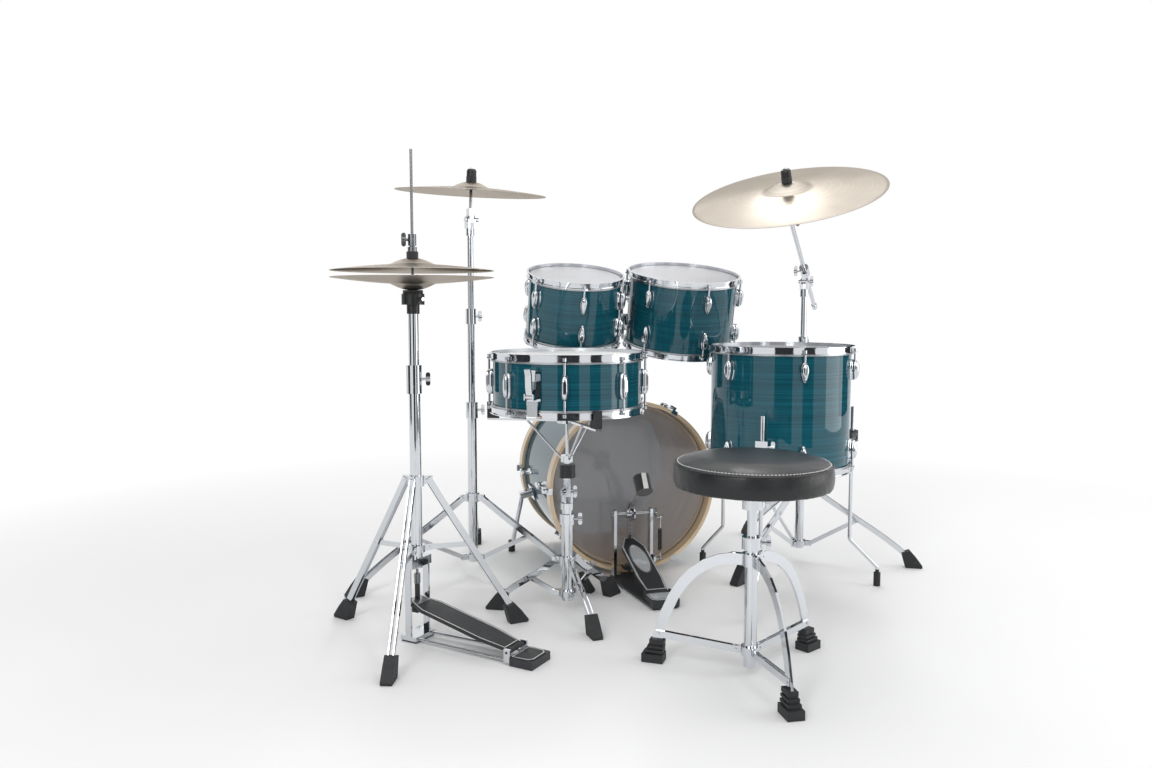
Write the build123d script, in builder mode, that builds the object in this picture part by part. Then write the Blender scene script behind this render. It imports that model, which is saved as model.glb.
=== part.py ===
"""Acoustic drum kit: five drums, cymbals on stands, two pedals and a throne.

Millimetres. +Y runs from the drummer through the bass drum, +X points to the drummer's right, +Z up.
The origin lies on the floor under the middle of the kit's outline.
"""
import math
import os
from collections import namedtuple

from build123d import *

os.makedirs("parts", exist_ok=True)

# Where the floor point under the bass drum's batter hoop lies from the origin
KIT_X = -9.295
KIT_Y = 230.271

# Drum sizes
INCH = 25.4
BASS_DIAMETER = 18 * INCH
BASS_DEPTH = 14 * INCH
SMALL_TOM_DIAMETER = 10 * INCH
SMALL_TOM_DEPTH = 7 * INCH
LARGE_TOM_DIAMETER = 12 * INCH
LARGE_TOM_DEPTH = 8 * INCH
FLOOR_TOM_DIAMETER = 14 * INCH
FLOOR_TOM_DEPTH = 12 * INCH
SNARE_DIAMETER = 14 * INCH
SNARE_DEPTH = 5 * INCH

# Shells, heads and hoops
SHELL_WALL = 7.0
EDGE_BEVEL = 5.0
EDGE_ROUND = 2.0
FILM = 0.6
FILM_SEAT = 0.05
COLLAR_GAP = 0.9
COLLAR_DROP = 7.5
RING_WIDTH = 4.0
RING_HEIGHT = 4.5
HOOP_GAP = 2.2
HOOP_STEEL = 2.2
HOOP_RISE = 9.0
HOOP_LIP = 3.6
HOOP_SEAT = 0.1
EAR_REACH = 15.0
EAR_WIDTH = 15.0
ROD_OFFSET = 10.0
ROD_RADIUS = 2.7
ROD_CLEARANCE = 0.4
ROD_HEAD_RADIUS = 4.0
ROD_HEAD_HEIGHT = 8.0
WOOD_HOOP_THICKNESS = 9.2
WOOD_HOOP_RISE = 30.0

# Lugs
LUG_SEAT = 0.05
LUG_DRAFT = 3.0
LUG_RADIUS = 8.0
LUG_TIP = 2.5
LUG_LENGTH = 28.0
LUG_HEIGHT = 15.0
LUG_DROP = 33.0
BASS_LUG_HEIGHT = 25.0
BASS_ROD_OFFSET = 18.5
BASS_LUG_DROP = 52.0
SNARE_LUG_LENGTH = 58.0
SNARE_LUG_WIDTH = 15.0
ROD_HOLD = 2.5
CLAW_WIDTH = 18.0
CLAW_GAP = 0.3
CLAW_STEEL = 3.0

# Bass drum spurs and tom mount
SPUR_AT = 300.0
SPUR_ANGLE = 15.0
SPUR_FOOT = (282.0, 332.0)
SPUR_BASE = 6.0
SPUR_BOSS = 28.0
SPUR_BOSS_RADIUS = 13.0
SPUR_HUB = 14.0
SPUR_ROD = 6.5
SPUR_TIP = 10.0
TOM_POST_RADIUS = 12.7
TOM_POST_SEAT = 13.4
TOM_HOLDER_HEIGHT = 70.0
TOM_HOLDER_WALL = 7.0
TOM_KNUCKLE_HEIGHT = 700.0
TOM_KNUCKLE_RADIUS = 16.0
TOM_KNUCKLE_HALF = 16.0
TOM_KNUCKLE = 14.0
TOM_ARM_RADIUS = 6.35
TOM_ARM_BEND = 16.0
TOM_ARM_AXLE = 5.0
TOM_BRACKET_REACH = 26.0
TOM_CLAMP_RADIUS = 12.0
SMALL_TOM_BRACKET = 56.0
LARGE_TOM_BRACKET = 124.5

# Floor tom legs
LEG_ROD = 5.0
LEG_ROD_OFFSET = 22.0
LEG_ROD_TOP = 486.0
LEG_ROD_KINK = 130.0
LEG_ROD_FOOT = 279.7
LEG_ROD_ANKLE = 50.0
LEG_BRACKET_ANGLE = 111.2
LEG_BRACKET_HEIGHT = 410.0

# Snare strainer and wires
STRAINER_ANGLE = -128.5
LEVER_DROP = 20.0
LEVER_OUT = 23.0
LEVER_PIN = 2.5
WIRE_RADIUS = 0.6
WIRE_COUNT = 12
WIRE_SPACING = 3.6
WIRE_HALF = 138.0
STRAP_WIDTH = 26.0
STRAP = 0.7
STRAP_OFFSET = 11.5
GATE_WIDTH = 40.0

# Places on the floor, from the point under the batter hoop, and the drums' heights
BASS_FLOOR_GAP = 19.4
BASS_CENTRE_HEIGHT = BASS_FLOOR_GAP + BASS_DIAMETER / 2
SNARE_AT = (-256.5, -259.3)
SNARE_TOP = 634.0
FLOOR_TOM_AT = (328.0, -220.0)
FLOOR_TOM_TOP = 642.0
SMALL_TOM_AT = (-151.0, 60.0)
SMALL_TOM_TOP = 833.0
SMALL_TOM_TILT = 14.2
LARGE_TOM_AT = (174.0, 78.0)
LARGE_TOM_TOP = 839.0
LARGE_TOM_TILT = 12.8
THRONE_AT = (14.7, -714.3)
HIHAT_AT = (-626.6, -339.4)
CRASH_AT = (-432.8, 114.3)
RIDE_AT = (520.1, 12.0)
TOM_POST_AT = (4.0, 207.0)
PEDAL_X = -15.0

# Tripod stands: foot radius, angle of the first leg, heights of the leg collar and of the stay hub
SNARE_FEET = 182.6
SNARE_LEG_ANGLE = -84.2
SNARE_COLLAR = 131.0
SNARE_HUB = 50.0
HIHAT_FEET = 246.2
HIHAT_LEG_ANGLE = -108.8
HIHAT_COLLAR = 362.0
HIHAT_HUB = 208.0
CRASH_FEET = 348.2
CRASH_LEG_ANGLE = -40.6
RIDE_FEET = 323.6
RIDE_LEG_ANGLE = -28.0
CYMBAL_STAND_COLLAR = 222.0
CYMBAL_STAND_HUB = 54.0
THRONE_FEET = 215.3
THRONE_LEG_ANGLE = -93.9
THRONE_COLLAR = 238.0
THRONE_HUB = 48.0

# Tubes of the stands
SLIDE_GAP = 0.3
SEAT_GAP = 0.1
TUBE_WALL = 1.4
COLLAR_WALL = 6.0
SNARE_POST_RADIUS = 12.5
HIHAT_UPPER_RADIUS = 11.0
CYMBAL_UPPER_RADIUS = 7.9
CYMBAL_MIDDLE_STEP = 1.6
CYMBAL_BASE_STEP = 3.2
CYMBAL_MIDDLE_RADIUS = CYMBAL_UPPER_RADIUS + CYMBAL_MIDDLE_STEP
CYMBAL_BASE_RADIUS = CYMBAL_MIDDLE_RADIUS + CYMBAL_BASE_STEP
THRONE_POST_RADIUS = 10.0
SNARE_TUBE_TOP = 221.0
SNARE_CLAMP_TOP = 247.0
HIHAT_TUBE_TOP = 558.0
HIHAT_CLAMP_TOP = 621.0
CYMBAL_TUBE_TOP = 443.0
CYMBAL_CLAMP_TOP = 487.0

# Tripod legs
LEG_WIDTH = 14.0
LEG_STRIP = 2.0
LEG_GAP = 4.4
HINGE_RADIUS = 30.0
PIN_RADIUS = 2.5
PIN_GAP = 0.3
EAR_THICKNESS = 8.0
STAY_WIDTH = 12.0
STAY_STRIP = 4.0
FOOT_WIDTH = 24.0
STAY_JOINT = 3
LEG_STEPS = 8

# Snare basket
SNARE_TILT_HEIGHT = 300.0
SNARE_TILT_HEADING = 5.8
BASKET_ARM_ANGLE = -83.5
BASKET_DROP = 33.0
BASKET_LEVEL = SNARE_TOP - SNARE_DEPTH - BASKET_DROP
BASKET_ARM = 5.0
BASKET_ARM_WIDTH = 14.0
BASKET_MARGIN = 18.2
BASKET_REACH = SNARE_DIAMETER / 2 + BASKET_MARGIN
TILT_PIN = 4.0

# Hi-hat
HIHAT_HEADING = -43.9
HAT_HEIGHT = 27.0
HAT_SEAT_TOP = 786.0
HAT_GAP = 12.9
PULL_ROD_RADIUS = 3.0
PULL_ROD_LOW = 140.0
PULL_ROD_TOP = 1091.0
HIHAT_HINGE = (263.0, 26.0)
HIHAT_BOARD_ANGLE = 12.9
HIHAT_TOE_PIN = 70.0
BOARD = 5.0

# Crash and ride stands
CRASH_MIDDLE_TOP = 702.0
CRASH_PIVOT = 985.0
CRASH_TILT_HEADING = 24.6
CRASH_LEAN = (0.033, -0.072, 1.0)
RIDE_MIDDLE_TOP = 620.0
RIDE_PIVOT = 822.0
RIDE_TILT_HEADING = -39.8
RIDE_BOOM_RISE = 30.0
RIDE_BOOM_RADIUS = 6.0
RIDE_BOOM_BACK = 200.0
RIDE_BOOM_FRONT = 238.0
RIDE_BOOM_SLOPE = 32.0
RIDE_LEAN = (-0.2828, -0.2883, 0.9149)
FORK_GAP = 6.3
FORK_CHEEK = 5.0
TONGUE = 12.0
CYMBAL_RISE = 70.0
CYMBAL_ROD = 4.0
CYMBAL_SLEEVE = 6.0

# Throne
THRONE_TUBE_TOP = 262.0
SEAT_LOW = 390.0
SEAT_TOP = 452.0
SEAT_RADIUS = 165.0
SEAT_CROWN = 6.0
SEAT_FLAT = 10.0
THRONE_LEG = 5.0
THRONE_LEG_WIDTH = 22.0

# Bass drum pedal, its heights and its reach towards the drummer
AXLE_BACK = 38.0
AXLE_HEIGHT = 185.0
AXLE_RADIUS = 5.0
CHAIN_RADIUS = 25.5
SPROCKET_DEPTH = 3.5
SPROCKET_RADIUS = CHAIN_RADIUS - SPROCKET_DEPTH
CHAIN_PITCH = 12.0
CHAIN_WRAPPED = 3
CHAIN_HANGING = 6
CHAIN_PIN = 1.5
POST_OFFSET = 52.0
BEATER_OFFSET = -13.0
BEATER_REACH = 160.0
BEATER_LEAN = 50.0
BEATER_RADIUS = 22.0
BEATER_LENGTH = 46.0
HEEL_BACK = 243.0
HEEL_HEIGHT = 24.0
BOARD_LENGTH = 252.0
BOARD_ANGLE = 18.7
SPRING_OFFSET = 73.0
SPRING_RADIUS = 4.5
SPRING_WIRE = 0.9
SPRING_TURNS = 9
SPRING_LOW = 83.0
SPRING_HIGH = 140.0
ROCKER_REACH = 22.0
ROCKER_DROP = 30.0
ANCHOR_HEIGHT = 58.0
HOOK_RADIUS = 4.2
HOOK_PIN = 2.5

# Wing bolts
WING_SHANK = 3.2
WING_HUB = 6.0
WING_HUB_LENGTH = 9.0
WING_SPAN = 30.0
WING_DEPTH = 10.0
WING_THICKNESS = 4.0

# Cymbals
HAT_RADIUS = 7 * INCH
CRASH_RADIUS = 8 * INCH
RIDE_RADIUS = 10 * INCH
CYMBAL_THICKNESS = 1.3
CYMBAL_HOLE = 6.5
BELL_STEPS = 5
BOW_STEPS = 6
FELT_DROP = 1.8


def spot(place, height=0.0):
    """A point of the kit, from its place on the floor and its height."""
    return Vector(KIT_X + place[0], KIT_Y + place[1], height)


def heading(angle):
    """The level direction at an angle from +X."""
    return Vector(math.cos(math.radians(angle)), math.sin(math.radians(angle)), 0)


def upright(point):
    """A level plane at a point: its own axis runs straight up."""
    return Plane(point, x_dir=(1, 0, 0), z_dir=(0, 0, 1))


def radial_plane(point, angle):
    """An upright plane through a point: x runs outwards along the angle, y upwards."""
    out = heading(angle)
    return Plane(point, x_dir=out, z_dir=out.cross(Vector(0, 0, 1)))


def section_plane(plane):
    """The half-section plane of a round piece: x runs outwards, y along the piece's own axis."""
    return Plane(plane.origin, x_dir=plane.x_dir, z_dir=-plane.y_dir)


def flipped(plane, distance):
    """The plane of a drum's far end: the same axis, looking the other way."""
    return Plane(plane.origin - plane.z_dir * distance, x_dir=plane.x_dir, z_dir=-plane.z_dir)


def turn(plane, *outline, mode=Mode.ADD):
    """Add a turned piece: the outline gives radius and height on the plane's own axis."""
    with BuildSketch(section_plane(plane)) as section:
        with BuildLine():
            Polyline(*outline, close=True)
        make_face()
    revolve(section.sketch, axis=Axis(plane.origin, plane.z_dir), mode=mode)


def ring(plane, low, high, inner, outer, mode=Mode.ADD):
    """Add a plain collar or tube between two heights on the plane's own axis."""
    with BuildSketch(plane.offset(low)) as section:
        Circle(outer)
        if inner > 0:
            Circle(inner, mode=Mode.SUBTRACT)
    extrude(section.sketch, amount=high - low, mode=mode)


def bar(start, end, radius, mode=Mode.ADD):
    """Add a round bar between two points."""
    axis = Vector(end) - Vector(start)
    with BuildSketch(Plane(start, z_dir=axis)) as section:
        Circle(radius)
    extrude(section.sketch, amount=axis.length, mode=mode)


def bent_bar(points, bend, radius):
    """Add a round bar along straight runs joined by bends of one radius."""
    start, after = Vector(points[0]), Vector(points[1])
    with BuildLine() as path:
        FilletPolyline(*points, radius=bend)
    with BuildSketch(Plane(start, z_dir=after - start)) as section:
        Circle(radius)
    sweep(section.sketch, path=path.wire())


def plate(plane, outline, thickness, mode=Mode.ADD):
    """Add a flat plate with a straight-sided outline, centred on its plane."""
    with BuildSketch(plane) as section:
        with BuildLine():
            Polyline(*outline, close=True)
        make_face()
    extrude(section.sketch, amount=thickness / 2, both=True, mode=mode)


def block(plane, width, depth, height, mode=Mode.ADD):
    """Add a block that stands on its plane."""
    with BuildSketch(plane) as section:
        Rectangle(width, depth)
    extrude(section.sketch, amount=height, mode=mode)


def ribbon(points, width):
    """The outline of a flat strip of one width along a bent centre line."""
    path = [Vector(*point) for point in points]
    runs = [(end - start).normalized() for start, end in zip(path, path[1:])]
    left = []
    right = []
    for index, point in enumerate(path):
        before = runs[max(index - 1, 0)]
        after = runs[min(index, len(runs) - 1)]
        normal = Vector(-after.Y, after.X)
        across = Vector(-before.Y - after.Y, before.X + after.X).normalized()
        reach = across * (width / 2 / across.dot(normal))
        left.append(point + reach)
        right.append(point - reach)
    return left + right[::-1]


def wing_bolt(seat, direction, reach=10.0):
    """Add a wing bolt whose shank leaves a clamp at the seat and points along the direction."""
    out = Vector(direction).normalized()
    bar(seat, seat + out * reach, WING_SHANK)
    hub = seat + out * reach
    bar(hub, hub + out * WING_HUB_LENGTH, WING_HUB)
    middle = hub + out * WING_HUB_LENGTH / 2
    with BuildSketch(Plane(middle, x_dir=out, z_dir=out.cross(Vector(0, 0, 1)))) as wing:
        SlotOverall(WING_SPAN, WING_DEPTH, rotation=90)
    extrude(wing.sketch, amount=WING_THICKNESS / 2, both=True)


def keep(piece, name):
    """Label a finished piece and write its file."""
    piece.part.label = name
    export_step(piece.part, f"parts/{name}.step")


# Drums: a plane on the batter bearing edge that looks out of the drum, lug angles round that plane
Drum = namedtuple("Drum", "name radius depth plane lugs first_lug")


def tilted_plane(place, height, tilt):
    """A drum's batter plane, leaning towards the drummer by the tilt."""
    lean = math.radians(tilt)
    return Plane(spot(place, height), x_dir=(1, 0, 0), z_dir=(0, -math.sin(lean), math.cos(lean)))


TOM_LUGS = 6
SNARE_LUGS = 8
BASS = Drum(
    "bass",
    BASS_DIAMETER / 2,
    BASS_DEPTH,
    Plane(spot((0, WOOD_HOOP_RISE), BASS_CENTRE_HEIGHT), x_dir=(1, 0, 0), z_dir=(0, -1, 0)),
    TOM_LUGS,
    0.0,
)
SMALL_TOM = Drum(
    "small_tom",
    SMALL_TOM_DIAMETER / 2,
    SMALL_TOM_DEPTH,
    tilted_plane(SMALL_TOM_AT, SMALL_TOM_TOP, SMALL_TOM_TILT),
    TOM_LUGS,
    -94.0,
)
LARGE_TOM = Drum(
    "large_tom",
    LARGE_TOM_DIAMETER / 2,
    LARGE_TOM_DEPTH,
    tilted_plane(LARGE_TOM_AT, LARGE_TOM_TOP, LARGE_TOM_TILT),
    TOM_LUGS,
    -85.5,
)
FLOOR_TOM = Drum(
    "floor_tom",
    FLOOR_TOM_DIAMETER / 2,
    FLOOR_TOM_DEPTH,
    upright(spot(FLOOR_TOM_AT, FLOOR_TOM_TOP)),
    TOM_LUGS,
    -99.5,
)
SNARE = Drum(
    "snare",
    SNARE_DIAMETER / 2,
    SNARE_DEPTH,
    upright(spot(SNARE_AT, SNARE_TOP)),
    SNARE_LUGS,
    -106.0,
)


def lug_angles(drum):
    """The angles of a drum's lugs round its own plane."""
    return [drum.first_lug + 360 / drum.lugs * index for index in range(drum.lugs)]


def around(plane, angle, radius, height):
    """A point beside a drum: radius and angle on its plane, height along its axis."""
    out = plane.x_dir * math.cos(math.radians(angle)) + plane.y_dir * math.sin(math.radians(angle))
    return plane.origin + out * radius + plane.z_dir * height


def facing(plane, angle, radius, height):
    """A plane that stands on a drum's side: its z looks out, its y runs along the drum's axis."""
    out = plane.x_dir * math.cos(math.radians(angle)) + plane.y_dir * math.sin(math.radians(angle))
    return Plane(around(plane, angle, radius, height), x_dir=plane.z_dir.cross(out), z_dir=out)


def drum_ends(drum):
    """The planes of the batter and the resonant bearing edges, each looking out of the drum."""
    return drum.plane, flipped(drum.plane, drum.depth)


def make_shell(drum):
    """The wooden shell with a bevelled bearing edge at each end."""
    inner = drum.radius - SHELL_WALL
    peak = drum.radius - EDGE_ROUND
    with BuildPart() as shell:
        turn(
            drum.plane,
            (inner, -EDGE_BEVEL),
            (peak, 0),
            (drum.radius, -EDGE_ROUND),
            (drum.radius, EDGE_ROUND - drum.depth),
            (peak, -drum.depth),
            (inner, EDGE_BEVEL - drum.depth),
        )
    return shell


def make_heads(drum):
    """Both drumheads: a film over the bearing edge, its collar and its flesh ring."""
    peak = drum.radius - EDGE_ROUND
    inside = drum.radius + COLLAR_GAP
    outside = inside + FILM
    shoulder = peak - inside + FILM_SEAT
    ring_base = -COLLAR_DROP - RING_HEIGHT
    with BuildPart() as heads:
        for end in drum_ends(drum):
            turn(
                end,
                (0, FILM_SEAT),
                (peak, FILM_SEAT),
                (inside, shoulder),
                (inside, ring_base),
                (inside + RING_WIDTH, ring_base),
                (inside + RING_WIDTH, -COLLAR_DROP),
                (outside, -COLLAR_DROP),
                (outside, shoulder + FILM / 2),
                (peak + FILM / 2, FILM_SEAT + FILM),
                (0, FILM_SEAT + FILM),
            )
    return heads


def make_steel_hoops(drum):
    """Both flanged hoops, with a drilled ear over each lug."""
    inside = drum.radius + HOOP_GAP
    wall = inside + HOOP_STEEL
    lip = wall + HOOP_LIP
    base = HOOP_SEAT - COLLAR_DROP
    ear_length = drum.radius + EAR_REACH - wall
    with BuildPart() as hoops:
        for end, side in zip(drum_ends(drum), (1, -1)):
            turn(
                end,
                (inside, base),
                (lip, base),
                (lip, base + HOOP_STEEL),
                (wall, base + HOOP_STEEL),
                (wall, HOOP_RISE - HOOP_STEEL),
                (lip, HOOP_RISE - HOOP_STEEL),
                (lip, HOOP_RISE),
                (inside, HOOP_RISE),
            )
            with BuildSketch(end.offset(base)) as ears:
                with PolarLocations(wall + ear_length / 2, drum.lugs, side * drum.first_lug):
                    Rectangle(ear_length, EAR_WIDTH)
            extrude(ears.sketch, amount=HOOP_STEEL)
            with BuildSketch(end.offset(base)) as holes:
                with PolarLocations(drum.radius + ROD_OFFSET, drum.lugs, side * drum.first_lug):
                    Circle(ROD_RADIUS + ROD_CLEARANCE)
            extrude(holes.sketch, amount=HOOP_STEEL, mode=Mode.SUBTRACT)
    return hoops


def tension_rod(end, angle, radius, bottom):
    """Add a tension rod through a hoop ear, with its head on the ear."""
    seat = HOOP_SEAT - COLLAR_DROP + HOOP_STEEL + SEAT_GAP
    bar(around(end, angle, radius, bottom), around(end, angle, radius, seat), ROD_RADIUS)
    bar(around(end, angle, radius, seat), around(end, angle, radius, seat + ROD_HEAD_HEIGHT), ROD_HEAD_RADIUS)


def teardrop_lug(end, angle, radius, drop, height):
    """Add a lug that is round towards the hoop, runs out to a point and narrows outwards."""
    base = facing(end, angle, radius + LUG_SEAT, -drop)
    with BuildSketch(base) as foot:
        Circle(LUG_RADIUS)
        with Locations((0, -LUG_LENGTH)):
            Circle(LUG_TIP)
        make_hull()
    with BuildSketch(base.offset(height)) as crest:
        Circle(LUG_RADIUS - LUG_DRAFT)
        with Locations((0, -LUG_LENGTH + LUG_DRAFT)):
            Circle(LUG_TIP / 2)
        make_hull()
    loft([foot.sketch, crest.sketch], ruled=True)


def repeat(piece, plane, angles):
    """Add copies of a piece round a plane's axis: the piece is made on the XY plane, towards +X."""
    places = [plane.location * Location((0, 0, 0), (0, 0, angle)) for angle in angles]
    with Locations(*places):
        add(piece.part)


def end_angles(drum, side):
    """The lug angles as seen on the plane of the batter end or of the far end."""
    return [side * angle for angle in lug_angles(drum)]


def make_tom_lugs(drum):
    """A tom's lugs with their tension rods, at both ends."""
    with BuildPart() as lug:
        teardrop_lug(Plane.XY, 0, drum.radius, LUG_DROP, LUG_HEIGHT)
        tension_rod(Plane.XY, 0, drum.radius + ROD_OFFSET, -LUG_DROP)
    with BuildPart() as lugs:
        for end, side in zip(drum_ends(drum), (1, -1)):
            repeat(lug, end, end_angles(drum, side))
    return lugs


def make_wood_hoops(drum):
    """Both wooden hoops of the bass drum."""
    inside = drum.radius + HOOP_GAP
    base = HOOP_SEAT - COLLAR_DROP
    with BuildPart() as hoops:
        for end in drum_ends(drum):
            ring(end, base, WOOD_HOOP_RISE, inside, inside + WOOD_HOOP_THICKNESS)
    return hoops


def spur_plane(side):
    """A plane on the bass shell where a spur is hinged: z looks out of the shell."""
    angle = -SPUR_ANGLE if side > 0 else 180 + SPUR_ANGLE
    return facing(BASS.plane, angle, BASS.radius + LUG_SEAT, WOOD_HOOP_RISE - SPUR_AT)


def make_bass_fittings():
    """Lugs with their rods, claws over the hoops, spur brackets and the tom mount base."""
    hoop_outside = BASS.radius + HOOP_GAP + WOOD_HOOP_THICKNESS + CLAW_GAP
    hook = WOOD_HOOP_RISE + CLAW_GAP
    rod_radius = BASS.radius + BASS_ROD_OFFSET
    claw_foot = 8.0
    with BuildPart() as lug:
        teardrop_lug(Plane.XY, 0, BASS.radius, BASS_LUG_DROP, BASS_LUG_HEIGHT)
        bar((rod_radius, 0, -BASS_LUG_DROP), (rod_radius, 0, claw_foot + SEAT_GAP), ROD_RADIUS)
        bar((rod_radius, 0, claw_foot + SEAT_GAP), (rod_radius, 0, claw_foot + 10), ROD_HEAD_RADIUS - 0.5)
    with BuildPart() as claw:
        outline = (
            (hoop_outside, -4),
            (rod_radius + 7, -4),
            (rod_radius + 7, claw_foot),
            (hoop_outside + CLAW_STEEL, claw_foot),
            (hoop_outside + CLAW_STEEL, hook + CLAW_STEEL),
            (hoop_outside - 8, hook + CLAW_STEEL),
            (hoop_outside - 8, hook),
            (hoop_outside, hook),
        )
        plate(section_plane(Plane.XY), outline, CLAW_WIDTH)
        hole = ROD_RADIUS + ROD_CLEARANCE
        bar((rod_radius, 0, -5), (rod_radius, 0, claw_foot + 1), hole, mode=Mode.SUBTRACT)
    mount = upright(spot(TOM_POST_AT, BASS_CENTRE_HEIGHT + BASS.radius + LUG_SEAT))
    holder = TOM_POST_RADIUS + SLIDE_GAP + TOM_HOLDER_WALL
    with BuildPart() as fittings:
        for end, side in zip(drum_ends(BASS), (1, -1)):
            repeat(lug, end, end_angles(BASS, side))
            repeat(claw, end, end_angles(BASS, side))
        for side in (1, -1):
            seat = spur_plane(side)
            block(seat, 44, 48, SPUR_BASE)
            ring(seat, SPUR_BASE, SPUR_BOSS, 0, SPUR_BOSS_RADIUS)
        block(mount, 64, 56, 8)
        ring(mount, 8, TOM_HOLDER_HEIGHT, 0, holder)
        ring(mount, 8, TOM_HOLDER_HEIGHT, 0, TOM_POST_RADIUS + SLIDE_GAP, mode=Mode.SUBTRACT)
        wing_bolt(mount.origin + Vector(0, 1 - holder, TOM_HOLDER_HEIGHT / 2 + 8), (0, -1, 0))
    return fittings


def make_spur(side):
    """A folding spur: a hub on the bracket, a leaning rod and a rubber tip."""
    seat = spur_plane(side)
    hub = seat.offset(SPUR_BOSS + SLIDE_GAP)
    top = hub.origin + hub.z_dir * SPUR_HUB / 2
    foot = spot((side * SPUR_FOOT[0], SPUR_FOOT[1]), SPUR_TIP)
    with BuildPart() as spur:
        ring(hub, 0, SPUR_HUB, 0, SPUR_BOSS_RADIUS)
        bar(top, foot, SPUR_ROD)
        tip = upright(foot)
        ring(tip, -SPUR_TIP, 24, 0, SPUR_TIP)
    return spur


def tom_knuckle(side):
    """The middle of a tom arm's knuckle beside the mount post."""
    aside = TOM_KNUCKLE_HALF + SLIDE_GAP + TOM_KNUCKLE / 2
    return spot(TOM_POST_AT, TOM_KNUCKLE_HEIGHT) + Vector(side * aside, 0, 0)


def make_tom_post():
    """The tom mount post with the cross block that carries both arms."""
    post = upright(spot(TOM_POST_AT))
    centre = spot(TOM_POST_AT, TOM_KNUCKLE_HEIGHT)
    reach = Vector(TOM_KNUCKLE_HALF, 0, 0)
    with BuildPart() as mount:
        ring(post, BASS_CENTRE_HEIGHT + BASS.radius + TOM_POST_SEAT, TOM_KNUCKLE_HEIGHT, 0, TOM_POST_RADIUS)
        bar(centre - reach, centre + reach, TOM_KNUCKLE_RADIUS)
        bar(centre - reach, centre + reach, TOM_ARM_AXLE + SLIDE_GAP, mode=Mode.SUBTRACT)
    return mount


def make_tom_arm(drum, angle, side):
    """A tom's arm: knuckle and axle at the post, a bent rod, and the bracket on the shell."""
    knuckle = tom_knuckle(side)
    half = Vector(side * TOM_KNUCKLE / 2, 0, 0)
    clamp = around(drum.plane, angle, drum.radius + TOM_BRACKET_REACH, -drum.depth / 2)
    elbow = Vector(knuckle.X, knuckle.Y, clamp.Z)
    run = (clamp - elbow).normalized()
    seat = facing(drum.plane, angle, drum.radius + LUG_SEAT, -drum.depth / 2)
    with BuildPart() as bracket:
        block(seat, 40, 52, 6)
        block(seat, 16, 22, TOM_BRACKET_REACH)
        bar(clamp - run * 13, clamp + run * 13, TOM_CLAMP_RADIUS)
        bar(clamp - run * 40, clamp + run * 16, TOM_ARM_RADIUS + SLIDE_GAP, mode=Mode.SUBTRACT)
    with BuildPart() as arm:
        bar(knuckle - half, knuckle + half, TOM_KNUCKLE_RADIUS)
        bar(knuckle - half - Vector(side * 14, 0, 0), knuckle, TOM_ARM_AXLE)
        bent_bar((knuckle, elbow, clamp + run * 14), TOM_ARM_BEND, TOM_ARM_RADIUS)
        add(bracket.part)
    return arm


def leg_angles(first):
    """The angles of three legs set evenly round a stand or a drum."""
    return [first + 120 * index for index in range(3)]


def make_floor_tom_fittings():
    """The floor tom's lugs with their rods, and the brackets that clamp its legs."""
    rod = FLOOR_TOM.radius + LEG_ROD_OFFSET
    height = LEG_BRACKET_HEIGHT - FLOOR_TOM_TOP
    lugs = make_tom_lugs(FLOOR_TOM)
    with BuildPart() as bracket:
        block(facing(Plane.XY, 0, FLOOR_TOM.radius + LUG_SEAT, height), 30, 30, LEG_ROD_OFFSET + 10)
        bar((rod, 0, height - 20), (rod, 0, height + 20), LEG_ROD + SLIDE_GAP, mode=Mode.SUBTRACT)
        wing_bolt(Vector(rod, 14, height), (0, 1, 0), reach=8)
    with BuildPart() as fittings:
        add(lugs.part)
        repeat(bracket, FLOOR_TOM.plane, leg_angles(LEG_BRACKET_ANGLE))
    return fittings


def make_floor_tom_legs():
    """Three bent leg rods with rubber tips."""
    rod = FLOOR_TOM.radius + LEG_ROD_OFFSET
    tip_radius = 9.0
    tip_height = 36.0
    tip_floor = 6.0
    with BuildPart() as leg:
        bent_bar(
            (
                (rod, 0, LEG_ROD_TOP),
                (rod, 0, LEG_ROD_KINK),
                (LEG_ROD_FOOT, 0, LEG_ROD_ANKLE),
                (LEG_ROD_FOOT, 0, tip_floor + SEAT_GAP),
            ),
            12,
            LEG_ROD,
        )
    with BuildPart() as tip:
        foot = upright(Vector(LEG_ROD_FOOT, 0, 0))
        ring(foot, 0, tip_height, 0, tip_radius)
        ring(foot, tip_floor, tip_height, 0, LEG_ROD + SEAT_GAP / 2, mode=Mode.SUBTRACT)
    with BuildPart() as legs:
        floor = upright(spot(FLOOR_TOM_AT))
        repeat(leg, floor, leg_angles(LEG_BRACKET_ANGLE))
        repeat(tip, floor, leg_angles(LEG_BRACKET_ANGLE))
    return legs


def make_snare_hoops():
    """The snare drum's hoops, with gates in the lower hoop where the straps pass."""
    hoops = make_steel_hoops(SNARE)
    low = -SNARE.depth - HOOP_RISE
    with BuildPart() as gated:
        add(hoops.part)
        for angle in (STRAINER_ANGLE, STRAINER_ANGLE + 180):
            middle = around(SNARE.plane, angle, SNARE.radius + HOOP_GAP + HOOP_STEEL / 2, low - 1)
            gate = Plane(middle, x_dir=heading(angle), z_dir=(0, 0, 1))
            block(gate, 4 * HOOP_STEEL + 2 * HOOP_LIP, GATE_WIDTH, HOOP_RISE + 2, mode=Mode.SUBTRACT)
    return gated


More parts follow.
